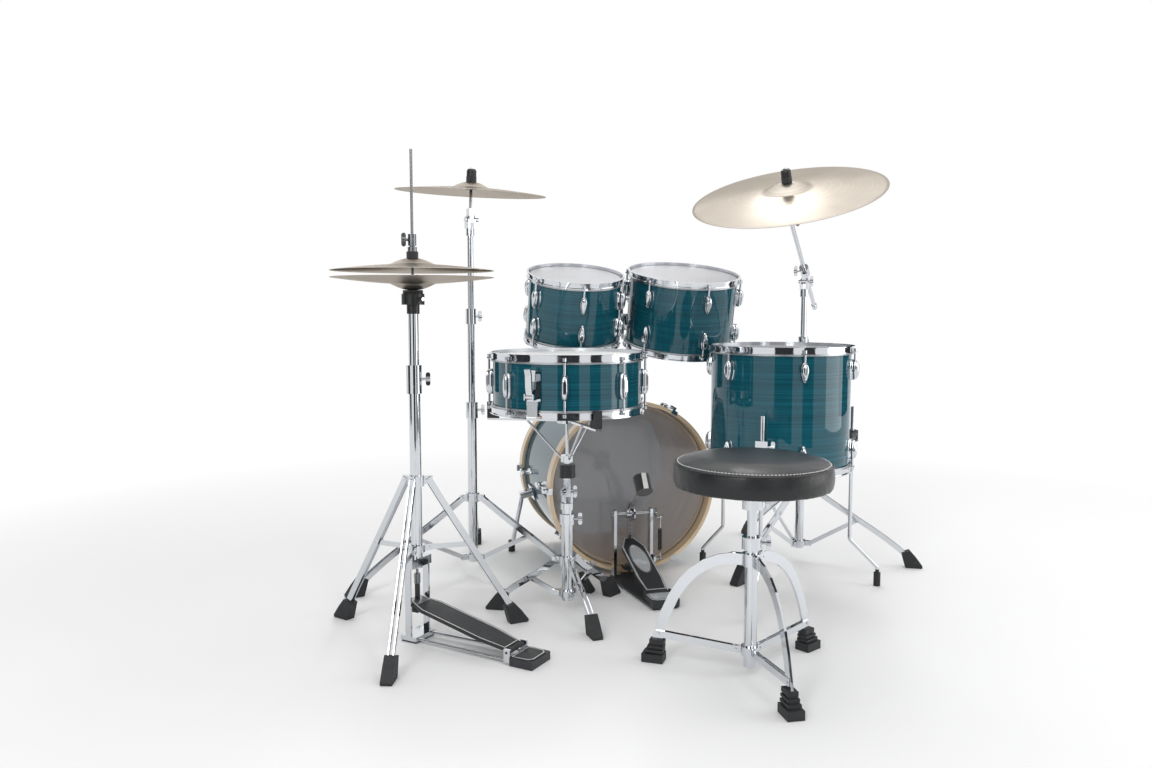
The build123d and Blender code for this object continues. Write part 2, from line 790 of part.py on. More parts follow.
def make_snare_lugs():
    """Long bridge lugs with a tension rod to each hoop."""
    base = facing(Plane.XY, 0, SNARE.radius + LUG_SEAT, -SNARE.depth / 2)
    far = flipped(Plane.XY, SNARE.depth)
    rod_end = (SNARE.depth - SNARE_LUG_LENGTH) / 2 + ROD_HOLD
    with BuildPart() as lug:
        with BuildSketch(base) as foot:
            SlotOverall(SNARE_LUG_LENGTH, SNARE_LUG_WIDTH, rotation=90)
        with BuildSketch(base.offset(LUG_HEIGHT)) as crest:
            SlotOverall(SNARE_LUG_LENGTH - 2 * LUG_DRAFT, SNARE_LUG_WIDTH - 2 * LUG_DRAFT, rotation=90)
        loft([foot.sketch, crest.sketch], ruled=True)
        tension_rod(Plane.XY, 0, SNARE.radius + ROD_OFFSET, -SNARE.depth / 2)
        tension_rod(far, 0, SNARE.radius + ROD_OFFSET, -rod_end)
    with BuildPart() as lugs:
        repeat(lug, SNARE.plane, lug_angles(SNARE))
    return lugs


def strainer_plane():
    """A plane on the snare shell under the strainer: z looks out, y runs upwards."""
    return facing(SNARE.plane, STRAINER_ANGLE, SNARE.radius + LUG_SEAT, -SNARE.depth / 2)


def lever_axis():
    """The middle and the direction of the strainer lever's hinge."""
    seat = strainer_plane()
    return seat.origin - seat.y_dir * LEVER_DROP + seat.z_dir * LEVER_OUT, seat.x_dir


def make_strainer():
    """The strainer body with its lever ears, and the butt plate across the drum."""
    seat = strainer_plane()
    hinge, across = lever_axis()
    strap_face = STRAP_OFFSET - LUG_SEAT - SEAT_GAP
    with BuildPart() as strainer:
        block(seat, 34, 76, 4)
        block(Plane(seat.origin - seat.y_dir * 6, x_dir=seat.x_dir, z_dir=seat.z_dir), 24, 40, 16)
        for side in (1, -1):
            ear = seat.origin - seat.y_dir * LEVER_DROP + seat.x_dir * side * 10.5 + seat.z_dir * 14
            block(Plane(ear, x_dir=seat.x_dir, z_dir=seat.z_dir), 3, 14, 15)
        bar(hinge - across * 13, hinge + across * 13, LEVER_PIN + PIN_GAP, mode=Mode.SUBTRACT)
        block(Plane(seat.origin - seat.y_dir * 36, x_dir=seat.x_dir, z_dir=seat.z_dir), 28, 10, strap_face)
        butt = facing(SNARE.plane, STRAINER_ANGLE + 180, SNARE.radius + LUG_SEAT, -SNARE.depth / 2 - 24)
        block(butt, 34, 40, 4)
        block(Plane(butt.origin - butt.y_dir * 12, x_dir=butt.x_dir, z_dir=butt.z_dir), 28, 10, strap_face)
    return strainer


def make_strainer_lever():
    """The throw-off lever: a hub on its pin and a curved handle that points up."""
    hinge, across = lever_axis()
    seat = strainer_plane()
    side_view = Plane(hinge, x_dir=seat.z_dir, z_dir=seat.z_dir.cross(seat.y_dir))
    with BuildPart() as lever:
        bar(hinge - across * 8.5, hinge + across * 8.5, 5.5)
        plate(side_view, ribbon(((0, 0), (5, 22), (6, 48), (11, 62)), 5), 15)
        bar(hinge - across * 12.5, hinge + across * 12.5, LEVER_PIN)
    return lever


def make_snare_wires():
    """The snare wires under the lower head, their end plates and the straps to both clamps."""
    level = -SNARE.depth - FILM_SEAT - FILM - WIRE_RADIUS - SLIDE_GAP
    under = Plane(SNARE.plane.origin + Vector(0, 0, level), x_dir=heading(STRAINER_ANGLE), z_dir=(0, 0, 1))
    width = WIRE_SPACING * (WIRE_COUNT - 1)
    strap_end = SNARE.radius + STRAP_OFFSET + STRAP
    strap_top = -SNARE.depth / 2 - 31 - level
    with BuildPart() as wires:
        for index in range(WIRE_COUNT):
            across = under.y_dir * (index * WIRE_SPACING - width / 2)
            start = under.origin + across - under.x_dir * WIRE_HALF
            bar(start, start + under.x_dir * 2 * WIRE_HALF, WIRE_RADIUS)
        for side in (1, -1):
            end = Plane(under.origin, x_dir=under.x_dir * side, z_dir=(0, 0, 1))
            middle = end.origin + end.x_dir * WIRE_HALF - Vector(0, 0, WIRE_RADIUS)
            block(Plane(middle, x_dir=end.x_dir, z_dir=(0, 0, 1)), 14, width + 6, 2 * WIRE_RADIUS)
            run = strap_end - WIRE_HALF
            middle = end.origin + end.x_dir * (WIRE_HALF + run / 2) - Vector(0, 0, STRAP / 2)
            block(Plane(middle, x_dir=end.x_dir, z_dir=(0, 0, 1)), run, STRAP_WIDTH, STRAP)
            middle = end.origin + end.x_dir * (strap_end - STRAP / 2) - Vector(0, 0, STRAP / 2)
            block(Plane(middle, x_dir=end.x_dir, z_dir=(0, 0, 1)), STRAP, STRAP_WIDTH, strap_top)
    return wires


Tripod = namedtuple("Tripod", "place feet first_leg collar hub tube")
SNARE_STAND = Tripod(
    SNARE_AT, SNARE_FEET, SNARE_LEG_ANGLE, SNARE_COLLAR, SNARE_HUB, SNARE_POST_RADIUS + SLIDE_GAP + TUBE_WALL
)
HIHAT_STAND = Tripod(
    HIHAT_AT, HIHAT_FEET, HIHAT_LEG_ANGLE, HIHAT_COLLAR, HIHAT_HUB, HIHAT_UPPER_RADIUS + SLIDE_GAP + TUBE_WALL
)
CRASH_STAND = Tripod(
    CRASH_AT, CRASH_FEET, CRASH_LEG_ANGLE, CYMBAL_STAND_COLLAR, CYMBAL_STAND_HUB, CYMBAL_BASE_RADIUS
)
RIDE_STAND = Tripod(
    RIDE_AT, RIDE_FEET, RIDE_LEG_ANGLE, CYMBAL_STAND_COLLAR, CYMBAL_STAND_HUB, CYMBAL_BASE_RADIUS
)


def leg_curve(stand):
    """Points along the bowed centre line of a stand's leg: distance from the stand and height."""
    hinge = Vector(HINGE_RADIUS, stand.collar)
    knee = Vector(0.45 * stand.feet, 0.62 * stand.collar)
    ankle = Vector(stand.feet - 30, 62)
    toe = Vector(stand.feet - 2, 8)
    points = []
    for step in range(LEG_STEPS + 1):
        along = step / LEG_STEPS
        left = 1 - along
        upper = hinge * left**3 + knee * 3 * left**2 * along
        lower = ankle * 3 * left * along**2 + toe * along**3
        points.append(upper + lower)
    return points


def leg_strips(stand, clearance, mode=Mode.ADD):
    """Add both flat strips of a leg that points along +X, grown by a clearance."""
    line = leg_curve(stand)
    start = line[0] + (line[0] - line[1]).normalized() * 5
    outline = ribbon([start] + line[1:], LEG_WIDTH + 2 * clearance)
    side_view = radial_plane(Vector(0, 0, 0), 0)
    for side in (1, -1):
        face = side_view.offset(side * (LEG_GAP + LEG_STRIP / 2))
        plate(face, outline, LEG_STRIP + 2 * clearance, mode=mode)


def cross_bar(place, half, radius, mode=Mode.ADD):
    """Add a pin across a leg that points along +X: the place is distance from the stand and height."""
    bar((place[0], -half, place[1]), (place[0], half, place[1]), radius, mode=mode)


def make_leg(stand):
    """One leg of a stand: two strips, the hinge pin, the stay pin and a spacer above the foot."""
    line = leg_curve(stand)
    with BuildPart() as leg:
        leg_strips(stand, 0)
        for joint in (line[0], line[STAY_JOINT], line[LEG_STEPS - 1]):
            cross_bar((joint.X, joint.Y), LEG_GAP + LEG_STRIP + 1, PIN_RADIUS)
    return leg


def make_stay(stand):
    """One stay: a flat strip from the hub to the leg, bored for the pins at both ends."""
    low = Vector(HINGE_RADIUS, stand.hub)
    high = leg_curve(stand)[STAY_JOINT]
    run = (high - low).normalized() * 6
    with BuildPart() as stay:
        plate(radial_plane(Vector(0, 0, 0), 0), ribbon((low - run, high + run), STAY_WIDTH), STAY_STRIP)
        for joint in (low, high):
            cross_bar((joint.X, joint.Y), STAY_STRIP, PIN_RADIUS + PIN_GAP, mode=Mode.SUBTRACT)
    return stay


def make_ear(stand):
    """An ear on the leg collar, bored for the leg's hinge pin."""
    inner = stand.tube + COLLAR_WALL - 2
    outline = (
        (inner, stand.collar - 9),
        (HINGE_RADIUS + 8, stand.collar - 9),
        (HINGE_RADIUS + 8, stand.collar + 9),
        (inner, stand.collar + 9),
    )
    with BuildPart() as ear:
        plate(radial_plane(Vector(0, 0, 0), 0), outline, EAR_THICKNESS)
        cross_bar((HINGE_RADIUS, stand.collar), EAR_THICKNESS, PIN_RADIUS + PIN_GAP, mode=Mode.SUBTRACT)
    return ear


def make_clevis(stand):
    """A pair of cheeks on the hub with the pin that holds a stay."""
    inner = stand.tube + COLLAR_WALL - 2
    cheek = 2.5
    offset = STAY_STRIP / 2 + SLIDE_GAP + cheek / 2
    outline = (
        (inner, stand.hub - 7),
        (HINGE_RADIUS + 6, stand.hub - 7),
        (HINGE_RADIUS + 6, stand.hub + 7),
        (inner, stand.hub + 7),
    )
    with BuildPart() as clevis:
        for side in (1, -1):
            plate(radial_plane(Vector(0, 0, 0), 0).offset(side * offset), outline, cheek)
        cross_bar((HINGE_RADIUS, stand.hub), offset + cheek, PIN_RADIUS)
    return clevis


def clamp_collar(base, low, high, inner, outer, angle):
    """Add a clamp round a tube, with its wing bolt on the given side."""
    ring(base, low, high, inner, outer)
    out = heading(angle)
    wing_bolt(base.origin + out * (outer - 1) + Vector(0, 0, (low + high) / 2), out)


def tripod_base(stand):
    """Add a stand's collar, hub, three legs and three stays."""
    base = upright(spot(stand.place))
    angles = leg_angles(stand.first_leg)
    for height, half in ((stand.collar, 12), (stand.hub, 8)):
        ring(base, height - half, height + half, stand.tube + SEAT_GAP, stand.tube + COLLAR_WALL)
    for piece in (make_ear(stand), make_clevis(stand), make_leg(stand), make_stay(stand)):
        repeat(piece, base, angles)


def make_snare_tripod():
    """The snare stand's tripod, base tube and height clamp."""
    base = upright(spot(SNARE_AT))
    bore = SNARE_POST_RADIUS + SLIDE_GAP
    with BuildPart() as tripod:
        ring(base, 32, SNARE_TUBE_TOP, bore, SNARE_STAND.tube)
        clamp_collar(base, SNARE_TUBE_TOP, SNARE_CLAMP_TOP, bore, SNARE_STAND.tube + 4, -10)
        tripod_base(SNARE_STAND)
    return tripod


def make_cymbal_tripod(stand, wing_angle):
    """A cymbal stand's tripod, base tube and lower height clamp."""
    base = upright(spot(stand.place))
    with BuildPart() as tripod:
        ring(base, 40, CYMBAL_TUBE_TOP, stand.tube - TUBE_WALL, stand.tube)
        clamp_collar(
            base,
            CYMBAL_TUBE_TOP,
            CYMBAL_CLAMP_TOP,
            CYMBAL_MIDDLE_RADIUS + SLIDE_GAP,
            stand.tube + 4,
            wing_angle,
        )
        tripod_base(stand)
    return tripod


def fork(base, low, pivot, axis):
    """Add a fork: a collar on a tube and two cheeks bored for a tilt pin along the axis."""
    for side in (1, -1):
        middle = base.origin + axis * side * (FORK_GAP + FORK_CHEEK / 2) + Vector(0, 0, low)
        block(Plane(middle, x_dir=axis, z_dir=(0, 0, 1)), FORK_CHEEK, 20, pivot - low)
        centre = base.origin + Vector(0, 0, pivot)
        bar(centre + axis * side * FORK_GAP, centre + axis * side * (FORK_GAP + FORK_CHEEK), 10)
    reach = axis * (FORK_GAP + FORK_CHEEK + 2)
    bar(centre - reach, centre + reach, TILT_PIN + PIN_GAP, mode=Mode.SUBTRACT)


def tilt_pin(centre, axis):
    """Add a tilt pin through a fork, with its head on one side and a wing on the other."""
    outside = FORK_GAP + FORK_CHEEK + SLIDE_GAP
    bar(centre - axis * (outside + 4), centre + axis * outside, TILT_PIN)
    bar(centre - axis * (outside + 4), centre - axis * outside, TILT_PIN + 3)
    wing_bolt(centre + axis * (outside - 1), axis, reach=5)


def make_snare_post():
    """The snare stand's sliding post with the fork that carries the basket."""
    base = upright(spot(SNARE_AT))
    axis = heading(SNARE_TILT_HEADING)
    with BuildPart() as post:
        ring(base, 120, 268, 0, SNARE_POST_RADIUS)
        ring(base, 258, 274, 0, SNARE_POST_RADIUS + 3)
        fork(base, 272, SNARE_TILT_HEIGHT, axis)
    return post


def make_snare_basket():
    """The basket: tongue and tilt pin, the clamping knob, three arms and their rubber grips."""
    base = upright(spot(SNARE_AT))
    axis = heading(SNARE_TILT_HEADING)
    pivot = base.origin + Vector(0, 0, SNARE_TILT_HEIGHT)
    arm_top = BASKET_LEVEL + BASKET_ARM
    rim = SNARE_TOP - SNARE_DEPTH - HOOP_RISE
    rim_radius = SNARE.radius + HOOP_GAP + HOOP_STEEL + HOOP_LIP
    with BuildPart() as arm:
        middle = Plane((BASKET_REACH / 2 + 10, 0, BASKET_LEVEL))
        block(middle, BASKET_REACH - 20, BASKET_ARM_WIDTH, BASKET_ARM)
        bar((14, 0, 384), (100, 0, BASKET_LEVEL + 2), 3)
    with BuildPart() as grip:
        inner = rim_radius - 16
        middle = Plane(((inner + BASKET_REACH) / 2, 0, arm_top + SEAT_GAP))
        block(middle, BASKET_REACH - inner, 18, rim - arm_top - 0.4)
        lip = rim_radius + 1.2
        block(Plane(((lip + BASKET_REACH) / 2, 0, arm_top + 2)), BASKET_REACH - lip, 18, 38)
    with BuildPart() as basket:
        block(Plane(pivot - Vector(0, 0, 10), x_dir=axis, z_dir=(0, 0, 1)), TONGUE, 18, 42)
        tilt_pin(pivot, axis)
        ring(base, 330, 391, 0, 8)
        ring(base, 337, 369, 8 + SEAT_GAP, 20)
        ring(base, 375, 391, 0, 15)
        ring(base, 390, BASKET_LEVEL, 0, 4)
        ring(base, BASKET_LEVEL - 4, arm_top - 1, 0, 24)
        repeat(arm, base, leg_angles(BASKET_ARM_ANGLE))
        repeat(grip, base, leg_angles(BASKET_ARM_ANGLE))
    return basket


def cymbal(rim, radius, bell_radius, bow_height, height):
    """Add a cymbal: a domed bell and a gently bowed plate above its rim plane."""
    top = []
    for step in range(BELL_STEPS):
        along = step / BELL_STEPS
        out = CYMBAL_HOLE + (bell_radius - CYMBAL_HOLE) * along
        top.append((out, bow_height + (height - bow_height) * math.cos(along * math.pi / 2)))
    for step in range(BOW_STEPS + 1):
        along = step / BOW_STEPS
        out = bell_radius + (radius - bell_radius) * along
        top.append((out, bow_height * (1 - 0.6 * along - 0.4 * along**2)))
    under = [(out, level - CYMBAL_THICKNESS) for out, level in reversed(top)]
    turn(rim, *top, *under)


def cymbal_rod(seat, height):
    """Add the rod, cup, felts and top nut that hold a cymbal of one bell height above a tilter."""
    crown = CYMBAL_RISE + height
    felt_top = crown - CYMBAL_THICKNESS - FELT_DROP
    felt_low = felt_top - 12
    ring(seat, 0, crown + 38, 0, CYMBAL_ROD)
    ring(seat, felt_low - 6, crown + 8, 0, CYMBAL_SLEEVE)
    ring(seat, felt_low - 6, felt_low, 0, 15)
    ring(seat, felt_low + SEAT_GAP, felt_top, CYMBAL_SLEEVE + SEAT_GAP, 14)
    ring(seat, crown + SLIDE_GAP, crown + 14, CYMBAL_SLEEVE + SEAT_GAP, 14)
    turn(
        seat,
        (CYMBAL_SLEEVE + SEAT_GAP, crown + 14 + SEAT_GAP),
        (13, crown + 14 + SEAT_GAP),
        (13, crown + 30),
        (10, crown + 34),
        (CYMBAL_SLEEVE + SEAT_GAP, crown + 34),
    )


CRASH_BELL = 30.0
RIDE_BELL = 36.0


def crash_seat():
    """The crash tilter's pivot with the cymbal's own axis."""
    return Plane(spot(CRASH_AT, CRASH_PIVOT), z_dir=Vector(CRASH_LEAN).normalized())


def make_middle_tube(place, low, high):
    """A cymbal stand's middle tube with the upper height clamp on its end."""
    base = upright(spot(place))
    bore = CYMBAL_UPPER_RADIUS + SLIDE_GAP
    with BuildPart() as tube:
        ring(base, low, high, CYMBAL_MIDDLE_RADIUS - 1.2, CYMBAL_MIDDLE_RADIUS)
        clamp_collar(base, high, high + 42, bore, CYMBAL_MIDDLE_RADIUS + 4.5, 20)
    return tube


def make_upper_tube(place, low, pivot, angle):
    """A cymbal stand's upper tube with the fork of its tilter."""
    base = upright(spot(place))
    shoulder = pivot - 30
    with BuildPart() as tube:
        ring(base, low, shoulder + 4, CYMBAL_UPPER_RADIUS - 1.2, CYMBAL_UPPER_RADIUS)
        ring(base, shoulder - 14, shoulder + 8, 0, FORK_GAP + FORK_CHEEK)
        fork(base, shoulder + 6, pivot, heading(angle))
    return tube


def make_crash_tilter():
    """The crash tilter: a tongue on its pin and the rod with cup, felts and nut."""
    seat = crash_seat()
    axis = heading(CRASH_TILT_HEADING)
    with BuildPart() as tilter:
        block(Plane(seat.origin - Vector(0, 0, 9), x_dir=axis, z_dir=(0, 0, 1)), TONGUE, 17, 38)
        tilt_pin(seat.origin, axis)
        cymbal_rod(seat, CRASH_BELL)
    return tilter


def make_cymbal(seat, radius, bell_radius, bow_height, height):
    """A crash or ride cymbal above its tilter."""
    with BuildPart() as plate_metal:
        cymbal(seat.offset(CYMBAL_RISE), radius, bell_radius, bow_height, height)
    return plate_metal


def boom_line():
    """The boom clamp's middle and the direction in which the boom rises."""
    back = heading(RIDE_TILT_HEADING - 90)
    slope = math.radians(RIDE_BOOM_SLOPE)
    rise = back * math.cos(slope) + Vector(0, 0, math.sin(slope))
    return spot(RIDE_AT, RIDE_PIVOT + RIDE_BOOM_RISE), rise


def ride_seat():
    """The end of the boom with the ride cymbal's own axis."""
    clamp, rise = boom_line()
    return Plane(clamp + rise * RIDE_BOOM_FRONT, z_dir=Vector(RIDE_LEAN).normalized())


def make_boom_clamp():
    """The boom clamp: a tongue on its pin and a bored block with a wing bolt."""
    clamp, rise = boom_line()
    axis = heading(RIDE_TILT_HEADING)
    pivot = spot(RIDE_AT, RIDE_PIVOT)
    with BuildPart() as holder:
        bar(pivot - axis * TONGUE / 2, pivot + axis * TONGUE / 2, 9)
        block(Plane(pivot, x_dir=axis, z_dir=(0, 0, 1)), TONGUE, 16, RIDE_BOOM_RISE)
        tilt_pin(pivot, axis)
        bar(clamp - rise * 18, clamp + rise * 18, RIDE_BOOM_RADIUS + 7)
        wing_bolt(clamp - axis * (RIDE_BOOM_RADIUS + 5), axis * -1)
        bar(clamp - rise * 30, clamp + rise * 30, RIDE_BOOM_RADIUS + SLIDE_GAP, mode=Mode.SUBTRACT)
    return holder


def make_boom_arm():
    """The boom with its end cap, tilter knuckle and cymbal rod."""
    clamp, rise = boom_line()
    seat = ride_seat()
    back = clamp - rise * RIDE_BOOM_BACK
    axis = heading(RIDE_TILT_HEADING)
    with BuildPart() as boom:
        bar(back, seat.origin, RIDE_BOOM_RADIUS)
        bar(back, back + rise * 18, RIDE_BOOM_RADIUS + 2)
        bar(seat.origin - axis * 9, seat.origin + axis * 9, 11)
        wing_bolt(seat.origin + axis * 8, axis, reach=6)
        cymbal_rod(seat, RIDE_BELL)
    return boom


def hihat_plane(height=0.0):
    """A level plane under the hi-hat: x runs along the pedal to its heel."""
    return Plane(spot(HIHAT_AT, height), x_dir=heading(HIHAT_HEADING), z_dir=(0, 0, 1))


def beside(plane, along, across, height):
    """A point of a pedal: along its length, across it and up."""
    return plane.origin + plane.x_dir * along + plane.y_dir * across + plane.z_dir * height


def slab(plane, along, across, low, high, mode=Mode.ADD):
    """Add an upright block between two values along, across and up."""
    middle = beside(plane, sum(along) / 2, sum(across) / 2, low)
    block(
        Plane(middle, x_dir=plane.x_dir, z_dir=plane.z_dir),
        along[1] - along[0],
        across[1] - across[0],
        high - low,
        mode=mode,
    )


def crossing(plane, along, height, half, radius, mode=Mode.ADD):
    """Add a pin across a pedal."""
    bar(beside(plane, along, -half, height), beside(plane, along, half, height), radius, mode=mode)


def make_hihat_tripod():
    """The hi-hat's tripod and tube, with the pedal frame, its rods and the heel block below."""
    base = upright(spot(HIHAT_AT))
    deck = hihat_plane()
    bore = HIHAT_UPPER_RADIUS + SLIDE_GAP
    hinge, height = HIHAT_HINGE
    with BuildPart() as tripod:
        ring(base, 164, HIHAT_TUBE_TOP, 0, HIHAT_STAND.tube)
        clamp_collar(base, HIHAT_TUBE_TOP, HIHAT_CLAMP_TOP, bore, HIHAT_STAND.tube + 4, 0)
        slab(deck, (-14, 14), (-34, 34), 168, 188)
        for side in (1, -1):
            slab(deck, (-8, 8), (side * 32 - 2, side * 32 + 2), 10, 188)
            bar(beside(deck, 20, side * 25, 9), beside(deck, hinge + 14, side * 30, 9), 3)
            slab(deck, (hinge - 7, hinge + 9), (side * 33 - 3, side * 33 + 3), 4, height + 7)
        slab(deck, (-22, 22), (-34, 34), 4, 14)
        slab(deck, (-20, 20), (-32, 32), 0, 4)
        slab(deck, (hinge + 8, hinge + 64), (-37, 37), 0, 18)
        crossing(deck, hinge, height, 40, PIN_RADIUS + PIN_GAP, mode=Mode.SUBTRACT)
        ring(base, 160, HIHAT_CLAMP_TOP + 1, 0, bore, mode=Mode.SUBTRACT)
        tripod_base(HIHAT_STAND)
    return tripod


def make_hihat_tube():
    """The hi-hat's sliding upper tube."""
    with BuildPart() as tube:
        ring(upright(spot(HIHAT_AT)), 420, 734, HIHAT_UPPER_RADIUS - 2, HIHAT_UPPER_RADIUS)
    return tube


def make_seat_cup():
    """The cup and felt that carry the lower hi-hat cymbal, with a tilting screw at the side."""
    base = upright(spot(HIHAT_AT))
    bore = PULL_ROD_RADIUS + 2
    with BuildPart() as cup:
        ring(base, 734 + SEAT_GAP, 756, bore, 14)
        ring(base, 754, HAT_SEAT_TOP - 8, bore, 25)
        ring(base, HAT_SEAT_TOP - 8 + SEAT_GAP, HAT_SEAT_TOP, bore, 22)
        screw = base.origin + heading(-60) * 24 + Vector(0, 0, 766)
        bar(screw, screw + heading(-60) * 14, 4)
    return cup


def hat_rim(upper):
    """The rim plane of a hi-hat cymbal, looking towards its bell."""
    low_rim = HAT_SEAT_TOP + SLIDE_GAP + HAT_HEIGHT
    if upper:
        return upright(spot(HIHAT_AT, low_rim + HAT_GAP + 2 * CYMBAL_THICKNESS))
    return Plane(spot(HIHAT_AT, low_rim), x_dir=(1, 0, 0), z_dir=(0, 0, -1))


def make_hat(upper):
    """A hi-hat cymbal: the upper one bell up, the lower one bell down."""
    with BuildPart() as hat:
        cymbal(hat_rim(upper), HAT_RADIUS, 50, 13, HAT_HEIGHT)
    return hat


def make_pull_rod():
    """The hi-hat's pull rod with its clutch, felts and the eye link at the pedal."""
    base = upright(spot(HIHAT_AT))
    deck = hihat_plane()
    crown = hat_rim(True).origin.Z + HAT_HEIGHT
    under = crown - CYMBAL_THICKNESS - FELT_DROP
    side_view = Plane(deck.origin, x_dir=deck.x_dir, z_dir=-deck.y_dir)
    neck = ((-5, HIHAT_TOE_PIN + 8), (5, HIHAT_TOE_PIN + 8), (5, PULL_ROD_LOW - 6), (-5, PULL_ROD_LOW - 6))
    with BuildPart() as rod:
        ring(base, PULL_ROD_LOW - 4, PULL_ROD_TOP, 0, PULL_ROD_RADIUS)
        ring(base, PULL_ROD_LOW - 12, PULL_ROD_LOW + 10, 0, 7)
        ring(base, under - 12, under, 0, 11)
        ring(base, under - 2, crown + 30, 0, CYMBAL_SLEEVE)
        ring(base, crown + SLIDE_GAP, crown + 7, CYMBAL_SLEEVE + SEAT_GAP, 13)
        ring(base, crown + 7 + SEAT_GAP, crown + 14, CYMBAL_SLEEVE + SEAT_GAP, 13)
        ring(base, crown + 14 + SEAT_GAP, crown + 24, 0, 10)
        ring(base, crown + 27, crown + 52, 0, 9)
        wing_bolt(base.origin + heading(180) * 8 + Vector(0, 0, crown + 40), heading(180), reach=6)
        plate(side_view, neck, 6)
        crossing(deck, 0, HIHAT_TOE_PIN, 3, 11)
        crossing(deck, 0, HIHAT_TOE_PIN, 4, 7, mode=Mode.SUBTRACT)
    return rod


def board_plane(plane, along, height, angle, across):
    """A footboard's own plane: x runs from the hinge to the toe, z leaves the tread."""
    lean = math.radians(angle)
    toe = plane.x_dir * -math.cos(lean) + plane.z_dir * math.sin(lean)
    return Plane(beside(plane, along, across, height), x_dir=toe, z_dir=toe.cross(plane.y_dir) * -1)


def footboard(tread, length, narrow, wide, toe):
    """Add a footboard with a raised border bar, grip bars and a hinge barrel at its heel."""
    outline = (
        (7, -narrow),
        (0.25 * length, -wide),
        (0.82 * length, -wide),
        (length, -toe),
        (length, toe),
        (0.82 * length, wide),
        (0.25 * length, wide),
        (7, narrow),
    )
    plate(tread, outline, BOARD)
    grips = 7
    for index in range(grips):
        along = length * (0.3 + 0.52 * index / (grips - 1))
        top = Plane(beside(tread, along, 0, BOARD / 2), x_dir=tread.x_dir, z_dir=tread.z_dir)
        block(top, 5, 2 * wide - 16, 1.6)
    bar(beside(tread, 0, -narrow, 0), beside(tread, 0, narrow, 0), 5)
    block(Plane(beside(tread, 6, 0, -BOARD / 2), x_dir=tread.x_dir, z_dir=tread.z_dir), 10, 2 * narrow, BOARD)


def make_hihat_footboard():
    """The hi-hat's footboard with its hinge pin and the toe pin that pulls the rod."""
    deck = hihat_plane()
    hinge, height = HIHAT_HINGE
    tread = board_plane(deck, hinge, height, HIHAT_BOARD_ANGLE, 0)
    under = height + hinge * math.tan(math.radians(HIHAT_BOARD_ANGLE))
    with BuildPart() as board:
        footboard(tread, hinge / math.cos(math.radians(HIHAT_BOARD_ANGLE)) + 12, 28, 37, 20)
        crossing(deck, hinge, height, 37, PIN_RADIUS)
        for side in (1, -1):
            slab(deck, (-8, 8), (side * 9 - 2, side * 9 + 2), HIHAT_TOE_PIN - 8, under - 1)
        slab(deck, (-10, 10), (-5, 5), HIHAT_TOE_PIN + 6, under + 12, mode=Mode.SUBTRACT)
        crossing(deck, 0, HIHAT_TOE_PIN, 13, PULL_ROD_RADIUS)
    return board


def throne_line():
    """The curved centre line of a throne leg: distance from the post and height."""
    start, pull, end = (34, THRONE_COLLAR), (165, THRONE_COLLAR - 12), (203, 10)
    line = []
    for step in range(LEG_STEPS + 1):
        share = step / LEG_STEPS
        weights = ((1 - share) ** 2, 2 * share * (1 - share), share**2)
        line.append(tuple(sum(w * p[axis] for w, p in zip(weights, (start, pull, end))) for axis in (0, 1)))
    return tuple(line)


def make_throne_tripod():
    """The throne's tube, height ring, leg collar, hub, legs and double stays."""
    base = upright(spot(THRONE_AT))
    tube = THRONE_POST_RADIUS + SLIDE_GAP + 2.7
    side_view = radial_plane(Vector(0, 0, 0), 0)
    line = throne_line()
    joint = line[-2]
    cheek = THRONE_LEG / 2 + SLIDE_GAP + 1.6
    start = (line[0][0] - 4, line[0][1] + 2)
    with BuildPart() as leg:
        plate(side_view, ribbon((start,) + line[1:], THRONE_LEG_WIDTH), THRONE_LEG)
        cross_bar(line[0], THRONE_LEG, PIN_RADIUS + PIN_GAP, mode=Mode.SUBTRACT)
        cross_bar(joint, THRONE_LEG / 2 + 4, PIN_RADIUS)
    with BuildPart() as ears:
        for side in (1, -1):
            plate(
                side_view.offset(side * cheek),
                (
                    (tube + 3, THRONE_COLLAR - 11),
                    (42, THRONE_COLLAR - 11),
                    (42, THRONE_COLLAR + 11),
                    (tube + 3, THRONE_COLLAR + 11),
                ),
                3.2,
            )
        cross_bar(line[0], cheek + 2.5, PIN_RADIUS)
    hub_pin = (29, THRONE_HUB)
    run = (Vector(*joint) - Vector(*hub_pin)).normalized() * 6
    with BuildPart() as stay:
        for side in (1, -1):
            plate(
                side_view.offset(side * (cheek - 0.4)),
                ribbon((Vector(*hub_pin) - run, Vector(*joint) + run), 14),
                2,
            )
        for place in (hub_pin, joint):
            cross_bar(place, 12, PIN_RADIUS + PIN_GAP, mode=Mode.SUBTRACT)
    with BuildPart() as lug:
        plate(
            side_view,
            (
                (tube + 3, THRONE_HUB - 7),
                (35, THRONE_HUB - 7),
                (35, THRONE_HUB + 7),
                (tube + 3, THRONE_HUB + 7),
            ),
            THRONE_LEG,
        )
        cross_bar(hub_pin, THRONE_LEG / 2 + 4, PIN_RADIUS)
    with BuildPart() as tripod:
        bore = THRONE_POST_RADIUS + SLIDE_GAP
        ring(base, 14, THRONE_TUBE_TOP, bore, tube)
        clamp_collar(base, THRONE_TUBE_TOP - 2, THRONE_TUBE_TOP + 23, bore, 20, -20)
        for height, half in ((THRONE_COLLAR, 13), (THRONE_HUB, 9)):
            ring(base, height - half, height + half, tube + SEAT_GAP, tube + 6)
        for piece in (leg, ears, stay, lug):
            repeat(piece, base, leg_angles(THRONE_LEG_ANGLE))
    return tripod


def make_throne_post():
    """The throne's sliding post."""
    with BuildPart() as post:
        ring(upright(spot(THRONE_AT)), 90, SEAT_LOW - 26, 0, THRONE_POST_RADIUS)
    return post


